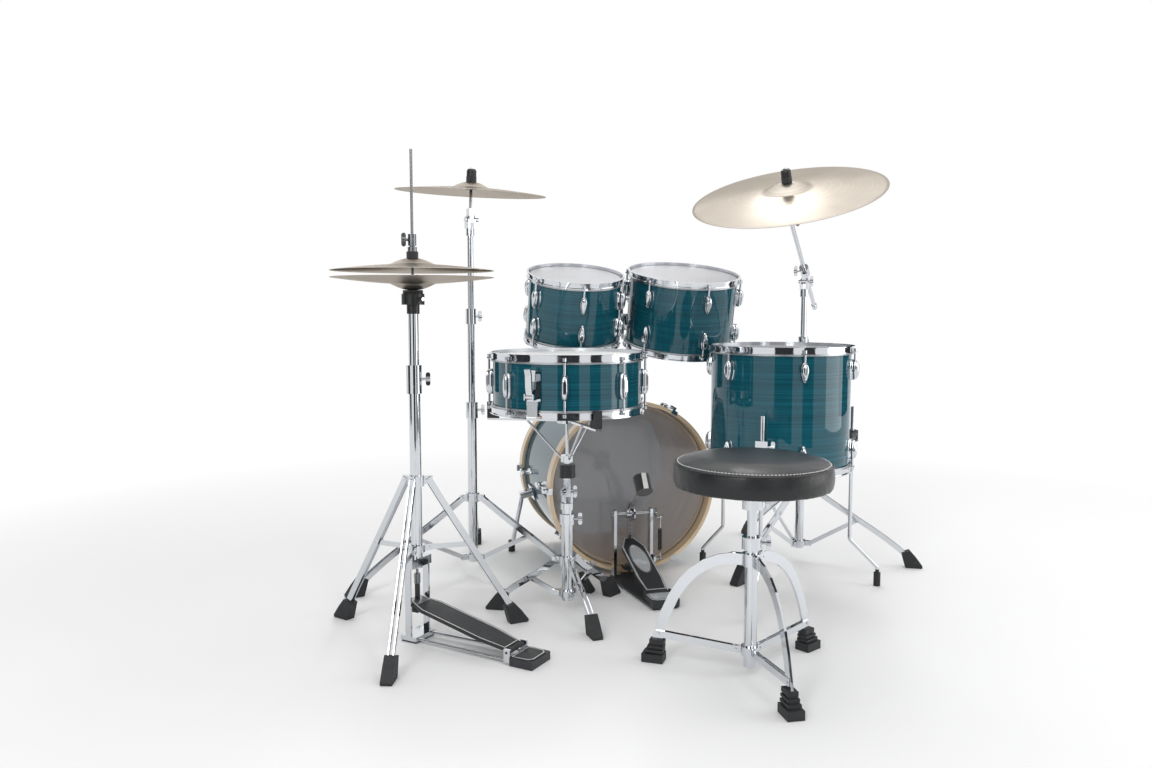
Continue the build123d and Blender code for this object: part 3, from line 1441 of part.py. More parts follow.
def make_seat_bracket():
    """The sleeve and flange under the seat, with a wing bolt."""
    base = upright(spot(THRONE_AT))
    low = SEAT_LOW - 48
    with BuildPart() as bracket:
        clamp_collar(base, low, SEAT_LOW - 18, THRONE_POST_RADIUS + SLIDE_GAP, 20, 0)
        low, edge, top = SEAT_LOW - 20, SEAT_LOW - 6, SEAT_LOW - 0.2
        turn(base, (0, low), (40, low), (78, edge), (78, top), (0, top))
    return bracket


def make_seat():
    """The padded seat: drawn-in sides, a seam under a rounded edge and a crowned top."""
    base = upright(spot(THRONE_AT))
    seam = (SEAT_RADIUS - 3.5, SEAT_TOP - 17)
    edge = (SEAT_RADIUS - 16, SEAT_TOP - SEAT_CROWN)
    rise = (edge[0] ** 2 + SEAT_CROWN**2 - SEAT_FLAT**2) / (2 * SEAT_CROWN)
    half_drop = rise - math.sqrt(SEAT_FLAT**2 + rise**2 - edge[0] ** 2 / 4)
    with BuildPart() as seat:
        with BuildSketch(section_plane(base)) as section:
            with BuildLine():
                Line((0, SEAT_LOW), (SEAT_RADIUS - 9, SEAT_LOW))
                ThreePointArc((SEAT_RADIUS - 9, SEAT_LOW), (SEAT_RADIUS, SEAT_LOW + 21), seam)
                ThreePointArc(seam, (SEAT_RADIUS - 5.5, SEAT_TOP - 9), edge)
                ThreePointArc(edge, (edge[0] / 2, SEAT_TOP - half_drop), (SEAT_FLAT, SEAT_TOP))
                Polyline((SEAT_FLAT, SEAT_TOP), (0, SEAT_TOP), (0, SEAT_LOW))
            make_face()
        revolve(section.sketch, axis=Axis(base.origin, base.z_dir))
    return seat


def make_wedge_foot(stand):
    """A rubber wedge on a leg that points along +X, with pockets for the leg's strips."""
    toe = stand.feet
    outline = (
        (toe - 24, 0),
        (toe + 20, 0),
        (toe + 22, 6),
        (toe + 4, 30),
        (toe - 14, 50),
        (toe - 36, 42),
        (toe - 30, 20),
    )
    joint = leg_curve(stand)[LEG_STEPS - 1]
    with BuildPart() as wedge:
        plate(radial_plane(Vector(0, 0, 0), 0), outline, FOOT_WIDTH)
        leg_strips(stand, SEAT_GAP / 2, mode=Mode.SUBTRACT)
        cross_bar((joint.X, joint.Y), LEG_GAP + LEG_STRIP + 1.2, PIN_RADIUS + 0.2, mode=Mode.SUBTRACT)
    return wedge


def make_ribbed_foot():
    """A ribbed rubber foot on a throne leg that points along +X."""
    line = throne_line()
    middle = line[-1][0]
    levels = (
        (0, 18, 0, 46, 34),
        (18, 21, 2, 34, 20),
        (21, 27, 3, 38, 27),
        (27, 30, 5, 32, 18),
        (30, 36, 6, 34, 24),
        (36, 39, 7, 29, 17),
        (39, 48, 8, 31, 21),
    )
    with BuildPart() as foot:
        for low, high, inward, length, width in levels:
            block(Plane((middle - inward, 0, low)), length, width, high - low)
        pocket = ribbon(line[1:], THRONE_LEG_WIDTH + SEAT_GAP)
        plate(radial_plane(Vector(0, 0, 0), 0), pocket, THRONE_LEG + SEAT_GAP, mode=Mode.SUBTRACT)
    return foot


def make_rubber_feet():
    """The wedge feet of four stands and the ribbed feet of the throne."""
    stands = (SNARE_STAND, HIHAT_STAND, CRASH_STAND, RIDE_STAND)
    wedges = [make_wedge_foot(stand) for stand in stands]
    ribbed = make_ribbed_foot()
    with BuildPart() as feet:
        for stand, wedge in zip(stands, wedges):
            repeat(wedge, upright(spot(stand.place)), leg_angles(stand.first_leg))
        repeat(ribbed, upright(spot(THRONE_AT)), leg_angles(THRONE_LEG_ANGLE))
    return feet


def pedal_plane():
    """A level plane under the bass drum pedal: x runs from the drum back to the heel."""
    return Plane(spot((PEDAL_X, 0)), x_dir=(0, -1, 0), z_dir=(0, 0, 1))


def pedal_side(across):
    """An upright plane along the pedal: x runs back to the heel, y up."""
    deck = pedal_plane()
    return Plane(beside(deck, 0, across, 0), x_dir=deck.x_dir, z_dir=-deck.y_dir)


def chain_points():
    """The chain's pins, sprocket top to footboard, down the drum side: distance from the drum, height."""
    step = 2 * math.asin(CHAIN_PITCH / 2 / CHAIN_RADIUS)
    points = []
    for index in range(CHAIN_WRAPPED, 0, -1):
        out = CHAIN_RADIUS * math.cos(index * step)
        points.append((AXLE_BACK - out, AXLE_HEIGHT + CHAIN_RADIUS * math.sin(index * step)))
    for index in range(CHAIN_HANGING + 1):
        points.append((AXLE_BACK - CHAIN_RADIUS, AXLE_HEIGHT - CHAIN_PITCH * index))
    return points


def rocker_pin():
    """The rocker pin that pulls the spring: distance from the drum and height."""
    drop = math.radians(ROCKER_DROP)
    return AXLE_BACK + ROCKER_REACH * math.cos(drop), AXLE_HEIGHT - ROCKER_REACH * math.sin(drop)


def make_pedal_frame():
    """The pedal's base plate, heel block, bearing posts, hoop clamp and spring anchor."""
    deck = pedal_plane()
    heel_end = HEEL_BACK + 62
    anchor_back = rocker_pin()[0]
    with BuildPart() as frame:
        plate(deck.offset(7), ((heel_end, -35), (heel_end, 35), (60, 60), (20, 60), (20, -60), (60, -60)), 6)
        slab(deck, (HEEL_BACK + 9, heel_end), (-36, 36), 9, 26)
        for side in (1, -1):
            slab(deck, (HEEL_BACK - 6, HEEL_BACK + 12), (side * 33 - 3, side * 33 + 3), 9, HEEL_HEIGHT + 7)
            post = side * POST_OFFSET
            slab(deck, (AXLE_BACK - 11, AXLE_BACK + 11), (post - 4, post + 4), 9, AXLE_HEIGHT + 11)
            slab(deck, (heel_end - 24, heel_end - 6), (side * 24 - 8, side * 24 + 8), 0, 4 - SEAT_GAP)
            slab(deck, (26, 46), (side * 50 - 8, side * 50 + 8), 0, 4 - SEAT_GAP)
        along, across = (AXLE_BACK - 8, anchor_back + 5), (POST_OFFSET + 2, POST_OFFSET + 9)
        slab(deck, along, across, ANCHOR_HEIGHT - 7, ANCHOR_HEIGHT + 7)
        bar(
            beside(deck, anchor_back, POST_OFFSET + 4, ANCHOR_HEIGHT),
            beside(deck, anchor_back, SPRING_OFFSET + 6, ANCHOR_HEIGHT),
            HOOK_PIN,
        )
        slab(deck, (-24, 22), (-16, 16), 3.5, 7.7)
        slab(deck, (-14, 20), (-14, 14), 19.4, 28)
        bar(beside(deck, 13, 0, 5), beside(deck, 13, 0, 38), 4)
        slab(deck, (9, 17), (-16, 16), 31, 38)
        crossing(deck, HEEL_BACK, HEEL_HEIGHT, 40, PIN_RADIUS + PIN_GAP, mode=Mode.SUBTRACT)
        crossing(deck, AXLE_BACK, AXLE_HEIGHT, POST_OFFSET + 8, AXLE_RADIUS + SLIDE_GAP, mode=Mode.SUBTRACT)
    return frame


def make_pedal_footboard():
    """The bass drum pedal's footboard, its hinge pin and the lug for the chain."""
    deck = pedal_plane()
    tread = board_plane(deck, HEEL_BACK, HEEL_HEIGHT, BOARD_ANGLE, 0)
    back, height = chain_points()[-1]
    with BuildPart() as board:
        footboard(tread, BOARD_LENGTH, 28, 34, 15)
        crossing(deck, HEEL_BACK, HEEL_HEIGHT, 37, PIN_RADIUS)
        slab(deck, (back - 5, back + 5), (-2.2, 2.2), height - 13, height)
        crossing(deck, back, height, 2.2, 5)
        crossing(deck, back, height, 4, CHAIN_PIN + SEAT_GAP, mode=Mode.SUBTRACT)
    return board


def make_pedal_beater():
    """The axle with its sprocket, the beater on its rod, and the rocker for the spring."""
    deck = pedal_plane()
    lean = math.radians(BEATER_LEAN)
    rise = deck.x_dir * math.sin(lean) + deck.z_dir * math.cos(lean)
    strike = deck.z_dir * math.sin(lean) - deck.x_dir * math.cos(lean)
    axle = beside(deck, AXLE_BACK, 0, AXLE_HEIGHT)
    hub = beside(deck, AXLE_BACK, BEATER_OFFSET, AXLE_HEIGHT)
    head = hub + rise * BEATER_REACH
    across = deck.y_dir
    back, height = chain_points()[0]
    pin_back, pin_height = rocker_pin()
    rocker = POST_OFFSET + 14
    with BuildPart() as beater:
        bar(axle - across * (POST_OFFSET + 8), axle + across * (rocker + 3), AXLE_RADIUS)
        bar(axle - across * (POST_OFFSET + 8), axle - across * (POST_OFFSET + 4.5), AXLE_RADIUS + 4)
        bar(axle - across * 2.2, axle + across * 2.2, SPROCKET_RADIUS)
        crossing(deck, back, height, 2.2, 4.5)
        crossing(deck, back, height, 4, CHAIN_PIN + SEAT_GAP, mode=Mode.SUBTRACT)
        bar(hub - across * 6.5, hub + across * 6.5, 12)
        bar(hub, head, 4)
        bar(head - strike * BEATER_LENGTH / 2, head + strike * BEATER_LENGTH / 2, BEATER_RADIUS)
        bar(axle + across * (rocker - 3), axle + across * (rocker + 3), 10)
        plate(pedal_side(rocker), ribbon(((AXLE_BACK, AXLE_HEIGHT), (pin_back, pin_height)), 9), 6)
        bar(
            beside(deck, pin_back, rocker - 3, pin_height),
            beside(deck, pin_back, SPRING_OFFSET + 6, pin_height),
            HOOK_PIN,
        )
    return beater


def chain_link(start, end, offset):
    """Add the two side plates of one chain link."""
    first, last = Vector(*start), Vector(*end)
    run = (last - first).normalized() * 3.4
    for side in (1, -1):
        plate(pedal_side(side * offset), ribbon((first - run, last + run), 7), 1.2)


def make_chain():
    """The drive chain: outer links with pins and inner links with bored bushes, in turn."""
    deck = pedal_plane()
    points = chain_points()
    with BuildPart() as chain:
        for index, (start, end) in enumerate(zip(points, points[1:])):
            if index % 2 == 0:
                chain_link(start, end, 4.6)
                for back, height in (start, end):
                    crossing(deck, back, height, 5.4, CHAIN_PIN)
    with BuildPart() as inner:
        for index, (start, end) in enumerate(zip(points, points[1:])):
            if index % 2 == 1:
                chain_link(start, end, 3.2)
                for back, height in (start, end):
                    crossing(deck, back, height, 3.0, 2.8)
        for back, height in points:
            crossing(deck, back, height, 6, CHAIN_PIN + SEAT_GAP, mode=Mode.SUBTRACT)
    with BuildPart() as whole:
        add(chain.part)
        add(inner.part)
    return whole


def arc_or_line(start, heading_out, end):
    """Add the arc that leaves the start along a direction and reaches the end."""
    reach = end - start
    if heading_out.cross(reach).length < 1e-4 * reach.length:
        Line(start, end)
    else:
        TangentArc(start, end, tangent=heading_out)


def biarc(start, start_run, end, end_run):
    """Add two arcs with a shared tangent between two points with given directions."""
    chord = end - start
    both = start_run + end_run
    closeness = 2 * (1 - start_run.dot(end_run))
    if closeness < 1e-6:
        reach = chord.dot(chord) / (4 * chord.dot(end_run))
    else:
        pull = chord.dot(both)
        reach = (math.sqrt(pull**2 + closeness * chord.dot(chord)) - pull) / closeness
    first = start + start_run * reach
    second = end - end_run * reach
    joint = (first + second) * 0.5
    arc_or_line(start, start_run, joint)
    arc_or_line(joint, (second - first).normalized(), end)


def make_spring():
    """The pedal's return spring: a hook, nine open coils and a second hook in one unbroken wire."""
    deck = pedal_plane()
    back, pin_height = rocker_pin()
    pitch = (SPRING_HIGH - SPRING_LOW) / SPRING_TURNS
    up = deck.z_dir

    def place(along, across, height):
        return beside(deck, back + along, SPRING_OFFSET + across, height)

    stations = [(place(HOOK_RADIUS, 0, ANCHOR_HEIGHT + 6), up)]
    for quarter in range(4 * SPRING_TURNS + 1):
        angle = quarter * math.pi / 2
        point = place(
            SPRING_RADIUS * math.cos(angle), SPRING_RADIUS * math.sin(angle), SPRING_LOW + pitch * quarter / 4
        )
        level = deck.y_dir * math.cos(angle) - deck.x_dir * math.sin(angle)
        run = (level * SPRING_RADIUS + up * pitch / (2 * math.pi)).normalized()
        stations.append((point, run))
    stations.append((place(HOOK_RADIUS, 0, pin_height - 6), up))
    start = place(-HOOK_RADIUS, 0, ANCHOR_HEIGHT)
    with BuildLine() as path:
        ThreePointArc(start, place(0, 0, ANCHOR_HEIGHT - HOOK_RADIUS), place(HOOK_RADIUS, 0, ANCHOR_HEIGHT))
        Line(place(HOOK_RADIUS, 0, ANCHOR_HEIGHT), stations[0][0])
        for (point, run), (after, next_run) in zip(stations, stations[1:]):
            biarc(point, run, after, next_run)
        Line(stations[-1][0], place(HOOK_RADIUS, 0, pin_height))
        ThreePointArc(
            place(HOOK_RADIUS, 0, pin_height),
            place(0, 0, pin_height + HOOK_RADIUS),
            place(-HOOK_RADIUS, 0, pin_height),
        )
    with BuildPart() as spring:
        with BuildSketch(Plane(start, z_dir=up * -1)) as section:
            Circle(SPRING_WIRE)
        sweep(section.sketch, path=path.wire())
    print("spring gap to itself", round(own_gap(path.wire(), 600, 30), 2))
    return spring


def own_gap(wire, samples, apart):
    """The smallest free distance between two stretches of the spring's wire."""
    points = [wire.position_at(index / samples) for index in range(samples + 1)]
    gaps = []
    for index, point in enumerate(points):
        gaps.extend((other - point).length for other in points[index + apart :])
    return min(gaps) - 2 * SPRING_WIRE


for drum in (BASS, SMALL_TOM, LARGE_TOM, FLOOR_TOM, SNARE):
    keep(make_shell(drum), drum.name + "_shell")
    keep(make_heads(drum), drum.name + "_heads")
for drum in (SMALL_TOM, LARGE_TOM, FLOOR_TOM):
    keep(make_steel_hoops(drum), drum.name + "_hoops")
keep(make_wood_hoops(BASS), "bass_hoops")
keep(make_snare_hoops(), "snare_hoops")
keep(make_bass_fittings(), "bass_fittings")
keep(make_spur(-1), "spur_left")
keep(make_spur(1), "spur_right")
keep(make_tom_post(), "tom_mount_post")
keep(make_tom_arm(SMALL_TOM, SMALL_TOM_BRACKET, -1), "small_tom_arm")
keep(make_tom_arm(LARGE_TOM, LARGE_TOM_BRACKET, 1), "large_tom_arm")
keep(make_tom_lugs(SMALL_TOM), "small_tom_lugs")
keep(make_tom_lugs(LARGE_TOM), "large_tom_lugs")
keep(make_floor_tom_fittings(), "floor_tom_fittings")
keep(make_floor_tom_legs(), "floor_tom_legs")
keep(make_snare_lugs(), "snare_lugs")
keep(make_strainer(), "snare_strainer")
keep(make_strainer_lever(), "strainer_lever")
keep(make_snare_wires(), "snare_wires")
keep(make_snare_tripod(), "snare_stand_tripod")
keep(make_snare_post(), "snare_stand_post")
keep(make_snare_basket(), "snare_basket")
keep(make_hihat_tripod(), "hihat_tripod")
keep(make_hihat_tube(), "hihat_upper_tube")
keep(make_seat_cup(), "hihat_seat_cup")
keep(make_hat(False), "hihat_bottom_cymbal")
keep(make_hat(True), "hihat_top_cymbal")
keep(make_pull_rod(), "hihat_pull_rod")
keep(make_hihat_footboard(), "hihat_footboard")
keep(make_cymbal_tripod(CRASH_STAND, 0), "crash_tripod")
keep(make_middle_tube(CRASH_AT, 300, CRASH_MIDDLE_TOP), "crash_middle_tube")
keep(make_upper_tube(CRASH_AT, 560, CRASH_PIVOT, CRASH_TILT_HEADING), "crash_upper_tube")
keep(make_crash_tilter(), "crash_tilter")
keep(make_cymbal(crash_seat(), CRASH_RADIUS, 52, 14, CRASH_BELL), "crash_cymbal")
keep(make_cymbal_tripod(RIDE_STAND, 10), "ride_tripod")
keep(make_middle_tube(RIDE_AT, 300, RIDE_MIDDLE_TOP), "ride_middle_tube")
keep(make_upper_tube(RIDE_AT, 500, RIDE_PIVOT, RIDE_TILT_HEADING), "ride_upper_tube")
keep(make_boom_clamp(), "ride_boom_clamp")
keep(make_boom_arm(), "ride_boom_arm")
keep(make_cymbal(ride_seat(), RIDE_RADIUS, 62, 17, RIDE_BELL), "ride_cymbal")
keep(make_throne_tripod(), "throne_tripod")
keep(make_throne_post(), "throne_post")
keep(make_seat_bracket(), "throne_seat_bracket")
keep(make_seat(), "throne_seat")
keep(make_rubber_feet(), "rubber_feet")
keep(make_pedal_frame(), "pedal_frame")
keep(make_pedal_footboard(), "pedal_footboard")
keep(make_pedal_beater(), "pedal_beater")
keep(make_chain(), "pedal_chain")
keep(make_spring(), "pedal_spring")
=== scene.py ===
import math

import bmesh
import bpy
from bpy.props import FloatProperty, FloatVectorProperty, IntProperty, PointerProperty
from mathutils import Matrix, Vector
from mathutils.bvhtree import BVHTree


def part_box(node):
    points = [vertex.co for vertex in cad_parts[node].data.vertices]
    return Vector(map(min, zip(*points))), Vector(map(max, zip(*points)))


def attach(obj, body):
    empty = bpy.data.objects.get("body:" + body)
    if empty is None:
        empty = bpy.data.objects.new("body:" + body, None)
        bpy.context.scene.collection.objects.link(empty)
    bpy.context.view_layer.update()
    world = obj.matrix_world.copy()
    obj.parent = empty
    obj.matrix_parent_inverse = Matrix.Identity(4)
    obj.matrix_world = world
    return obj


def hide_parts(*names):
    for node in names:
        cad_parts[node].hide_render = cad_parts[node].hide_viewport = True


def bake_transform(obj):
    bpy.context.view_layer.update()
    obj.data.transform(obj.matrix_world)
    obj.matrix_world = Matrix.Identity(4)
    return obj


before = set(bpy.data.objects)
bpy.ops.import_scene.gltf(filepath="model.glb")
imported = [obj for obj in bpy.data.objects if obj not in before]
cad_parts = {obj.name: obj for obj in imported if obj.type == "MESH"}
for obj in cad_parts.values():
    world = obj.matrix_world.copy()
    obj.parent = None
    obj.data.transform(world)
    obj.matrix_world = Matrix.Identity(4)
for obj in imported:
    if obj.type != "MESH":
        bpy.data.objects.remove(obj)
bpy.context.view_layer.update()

bl_info = {
    "name": "Drum Kit Finishes",
    "version": (1, 0, 0),
    "blender": (4, 5, 0),
    "location": "View3D > Sidebar > Drum Kit",
    "description": "Finishes, cymbals, seat and pedal details for a five-drum acoustic kit",
    "category": "Object",
}

MM = 0.001
UP = Vector((0, 0, 1))


def linear(hex_colour):
    """An sRGB hex value as linear red, green, blue and alpha."""
    channels = [int(hex_colour[start:start + 2], 16) / 255 for start in (1, 3, 5)]
    return [c / 12.92 if c <= 0.04045 else ((c + 0.055) / 1.055) ** 2.4 for c in channels] + [1.0]


def along(axis, origin):
    """A place whose own z runs along an axis, with its x as level as it can be."""
    up = Vector(axis).normalized()
    side = Vector((1, 0, 0)) - up * up.x
    side.normalize()
    turn = Matrix((side, up.cross(side), up)).transposed().to_4x4()
    return Matrix.Translation(Vector(origin) * MM) @ turn


# Drums: own place with z out of the batter head, shell radius in mm
SMALL_AXIS = (0, -math.sin(math.radians(14.2)), math.cos(math.radians(14.2)))
LARGE_AXIS = (0, -math.sin(math.radians(12.8)), math.cos(math.radians(12.8)))
DRUMS = {
    "bass": (along((0, -1, 0), (-9.3, 260.3, 248)), 228.6),
    "small_tom": (along(SMALL_AXIS, (-160.3, 290.3, 833)), 127.0),
    "large_tom": (along(LARGE_AXIS, (164.7, 308.3, 839)), 152.4),
    "floor_tom": (along(UP, (318.7, 10.3, 642)), 177.8),
    "snare": (along(UP, (-265.8, -29.0, 634)), 177.8),
}

# Lugs of a drum: body, shell depth in mm, first angle, count, distance from the edge and height in mm,
# and the power that makes their dome full
LUGS = {
    "bass": ("kit", 355.6, 0.0, 6, 52, 27.5, 6),
    "small_tom": ("small_tom", 177.8, -94.0, 6, 33, 21.0, 3),
    "large_tom": ("large_tom", 203.2, -85.5, 6, 33, 21.0, 3),
    "floor_tom": ("kit", 304.8, -99.5, 6, 33, 21.0, 3),
}
SNARE_LUGS = ("snare", 127.0, -106.0, 8, 63.5, 18.0, 4)

# Cymbals: rim place with z towards the bell, radius, bell radius, bow height and bell height in mm, body
CRASH_SEAT = along((0.033, -0.072, 1), (-442.1, 344.6, 985))
RIDE_SEAT = along((-0.2828, -0.2883, 0.9149), (381.6, 87.2, 978.1))
HAT_AT = (-635.9, -109.1)
RIM_RISE = Matrix.Translation(UP * 70 * MM)
CYMBALS = {
    "crash_cymbal": (CRASH_SEAT @ RIM_RISE, 203.2, 52, 14, 30, "crash_cymbal"),
    "ride_cymbal": (RIDE_SEAT @ RIM_RISE, 254.0, 62, 17, 36, "ride_cymbal"),
    "hihat_top_cymbal": (along(UP, (*HAT_AT, 828.8)), 177.8, 50, 13, 27, "hihat_rod"),
    "hihat_bottom_cymbal": (along(-UP, (*HAT_AT, 813.3)), 177.8, 50, 13, 27, "hihat_tube"),
}
CYMBAL_HOLE = 6.5
CYMBAL_THICKNESS = 1.3
CYMBAL_STEPS = 144
LATHE_MAP = "lathe"

# Pedals, in mm: level direction to the toe, middle of the hinge line, board slope in degrees, board length
HAT_HEADING = math.radians(-43.9)
HAT_TOE = Vector((-math.cos(HAT_HEADING), -math.sin(HAT_HEADING), 0))
HAT_HINGE = Vector((*HAT_AT, 26)) - HAT_TOE * 263
BASS_TOE = Vector((0, 1, 0))
BASS_HINGE = Vector((-24.3, -12.7, 24))
BASS_SLOPE = 18.7
BASS_BOARD = 252
HAT_SLOPE = 12.9
HAT_BOARD = 281.8
BOARD_HALF = 2.5
# The bass pedal's axle, and how far its beater leans back
AXLE = Vector((-24.3, 192.3, 185))
BEATER_LEAN = math.radians(50)


def tread(hinge, toe, slope):
    """A footboard's place: x from the hinge to the toe, z out of the tread."""
    lean = math.radians(slope)
    run = toe * math.cos(lean) + UP * math.sin(lean)
    across = UP.cross(toe)
    turn = Matrix((run, across, run.cross(across))).transposed().to_4x4()
    return Matrix.Translation(hinge * MM) @ turn


BASS_TREAD = tread(BASS_HINGE, BASS_TOE, BASS_SLOPE)
HAT_TREAD = tread(HAT_HINGE, HAT_TOE, HAT_SLOPE)

# Stage: the photograph's lens in mm, place in metres and angles in degrees, and the room's soft light
PHOTO_LENS = 28.506
PHOTO_SPOT = (-0.8058, -2.1507, 0.7517)
PHOTO_TILT = 85.1
PHOTO_HEADING = -14.844
ROOM_LIGHT = 0.56


def colour(name, about, hex_colour):
    """A colour that a user may change."""
    return FloatVectorProperty(
        name=name, description=about, subtype="COLOR", size=4, min=0, max=1, default=linear(hex_colour)
    )


def size(name, about, default):
    """A length that a user may change."""
    return FloatProperty(name=name, description=about, default=default, min=0, unit="LENGTH", precision=5)


class DrumKitColours(bpy.types.PropertyGroup):
    shell: colour("Shell", "Stained veneer under the clear lacquer", "#195e6d")
    shell_streak: colour("Shell streaks", "Dark hairlines in the veneer", "#072a35")
    ply: colour("Ply", "Raw inside of the shells", "#d6b07c")
    hoop_wood: colour("Hoop wood", "Clear lacquered maple of the bass hoops", "#dec7a6")
    chrome: colour("Chrome", "Plated steel and castings", "#d3d6da")
    bronze: colour("Bronze", "Lathed cymbal bronze", "#cbc4ba")
    vinyl: colour("Vinyl", "Seat cover", "#15171a")
    thread: colour("Thread", "Seat stitching", "#e4e4e0")
    coated_head: colour("Coated head", "Snare batter head", "#f8f8f8")
    tom_head: colour("Tom head", "Tom batter heads", "#dcdde1")
    bass_head: colour("Bass head", "Bass batter film", "#bcc0c5")
    rubber: colour("Rubber", "Feet, tips and grips", "#1e2022")
    plastic: colour("Plastic", "Knobs, cup and nuts", "#191b1d")
    powder_coat: colour("Powder coat", "Footboards and pedal base", "#26282b")
    felt: colour("Felt", "Cymbal felts and the beater", "#232426")
    plate: colour("Plate", "Satin plates on the boards", "#b4b7ba")
    print: colour("Print", "Pale enamel printed on the boards", "#a9acaf")


class DrumKitSizes(bpy.types.PropertyGroup):
    """Sizes of the pieces made here."""

    stitch_length: size("Stitch length", "Length of one seat stitch", 0.0058)
    stitch_pitch: size("Stitch pitch", "Distance from stitch to stitch", 0.0074)
    welt: size("Welt", "Radius of the seat's piping", 0.0017)
    puff: size("Puff", "How far the seat cover may swell", 0.005)
    streak: size("Streak", "Height of one veneer streak", 0.0021)
    groove: size("Groove", "Distance between drawn lathe grooves", 0.0046)
    grain: size("Grain", "Width of one vinyl grain cell", 0.0022)
    wire: size("Wire", "Radius of the pedal spring's wire", 0.0011)
    coil: size("Coil", "Radius of the pedal spring's coil", 0.0048)
    turns: IntProperty(name="Turns", description="Turns of the spring", default=17, min=9, max=22)


def colours():
    """The colours that the scene holds."""
    return bpy.context.scene.drum_kit_colours


def sizes():
    """The sizes that the scene holds."""
    return bpy.context.scene.drum_kit_sizes


# Materials


def add(tree, kind, inputs=None, out=0, to=None, **settings):
    """Add a node with its settings, set or link its inputs, and link its output on; gives that output."""
    node = tree.nodes.new("ShaderNode" + kind)
    for key, value in settings.items():
        setattr(node, key, value)
    for key, value in (inputs or {}).items():
        if isinstance(value, bpy.types.NodeSocket):
            tree.links.new(value, node.inputs[key])
        else:
            node.inputs[key].default_value = value
    if to is not None:
        tree.links.new(node.outputs[out], to)
    return node.outputs[out]


def finish(name, base, roughness, metallic=0.0, **more):
    """A new material with its shader's plain values; gives the material, its tree and its shader."""
    material = bpy.data.materials.new(name)
    material.use_nodes = True
    tree = material.node_tree
    shader = next(node for node in tree.nodes if node.type == "BSDF_PRINCIPLED")
    shader.inputs["Base Color"].default_value = base
    shader.inputs["Roughness"].default_value = roughness
    shader.inputs["Metallic"].default_value = metallic
    for key, value in more.items():
        shader.inputs[key.replace("_", " ")].default_value = value
    return material, tree, shader


def own_space(tree, place=Matrix()):
    """Object coordinates seen from a piece's own middle and axis."""
    spot, turn, _ = place.decompose()
    held = add(tree, "TexCoord", out="Object")
    inputs = {"Vector": held, "Location": spot, "Rotation": turn.to_euler()}
    return add(tree, "Mapping", inputs, vector_type="TEXTURE")


def axis_distance(tree, space):
    """How far a point is from a piece's own axis."""
    level = add(tree, "VectorMath", {0: space, 1: (1, 1, 0)}, operation="MULTIPLY")
    return add(tree, "VectorMath", {0: level}, out=1, operation="LENGTH")


def patches(tree, space, cell, detail=2.0, rough=0.5):
    """Soft random patches from 0 to 1, by the size in mm of one cell along each axis."""
    scale = [1 / (side * MM) for side in cell]
    scaled = add(tree, "VectorMath", {0: space, 1: scale}, operation="MULTIPLY")
    return add(tree, "TexNoise", {"Vector": scaled, "Scale": 1.0, "Detail": detail, "Roughness": rough})


def cover(tree, under, over, value, low, high, share, to=None):
    """One colour over another, up to a share of it where a value goes from low to high."""
    part = add(tree, "MapRange", {0: value, 1: low, 2: high, 4: share})
    return add(tree, "Mix", {0: part, 6: under, 7: over}, out=2, to=to, data_type="RGBA")


def stained_lacquer(name, place):
    """Stained veneer under poured clear lacquer: dark hairlines round the drum below a deep wet gloss."""
    palette = colours()
    material, tree, shader = finish(
        name, palette.shell, 0.45, Specular_IOR_Level=0.0, Coat_Weight=1.0, Coat_Roughness=0.02
    )
    space = own_space(tree, place)
    dark = palette.shell_streak
    streak = sizes().streak / MM
    # Real hairlines are 1 to 2 mm high; these are drawn taller so that they show in the render
    fine = patches(tree, space, (625, 625, streak), 3.0, 0.6)
    broad = patches(tree, space, (833, 833, streak / 0.22))
    thin = patches(tree, space, (500, 500, streak / 0.75), 1.0)
    body = cover(tree, palette.shell, dark, fine, 0.36, 0.64, 0.46)
    shade = cover(tree, body, dark, broad, 0.35, 0.7, 0.3)
    cover(tree, shade, dark, thin, 0.6, 0.68, 0.48, to=shader.inputs["Base Color"])
    return material


def raw_ply(name, place):
    """Sanded hardwood ply: matt, with pale grain round the shell and faint darker pores."""
    palette = colours()
    material, tree, shader = finish(name, palette.ply, 0.62)
    space = own_space(tree, place)
    # Pores of about 0.3 mm are drawn at 1.4 mm so that they show
    grain = patches(tree, space, (143, 143, 3.85), 4.0, 0.6)
    pores = patches(tree, space, (50, 50, 1.43))
    body = cover(tree, palette.ply, linear("#9c7040"), grain, 0.35, 0.65, 0.55)
    cover(tree, body, linear("#6d4a26"), pores, 0.6, 0.75, 0.35, to=shader.inputs["Base Color"])
    relief = {"Height": pores, "Distance": 0.15 * MM, "Strength": 0.4}
    add(tree, "Bump", relief, to=shader.inputs["Normal"])
    return material


def maple_hoop(name, place):
    """Bent maple under satin lacquer: pale tan, with grain round the ring and glue lines between plies."""
    palette = colours()
    material, tree, shader = finish(name, palette.hoop_wood, 0.34, Coat_Weight=0.5, Coat_Roughness=0.12)
    space = own_space(tree, place)
    ply, glue = 2.3 * MM, 0.3 * MM
    grain = patches(tree, space, (111, 111, 2.38), 4.0, 0.55)
    plies = add(tree, "Math", {0: axis_distance(tree, space), 1: ply}, operation="PINGPONG")
    body = cover(tree, palette.hoop_wood, linear("#c4a67e"), grain, 0.36, 0.66, 0.6)
    cover(tree, body, linear("#8a6a44"), plies, glue, 0.0, 0.55, to=shader.inputs["Base Color"])
    return material


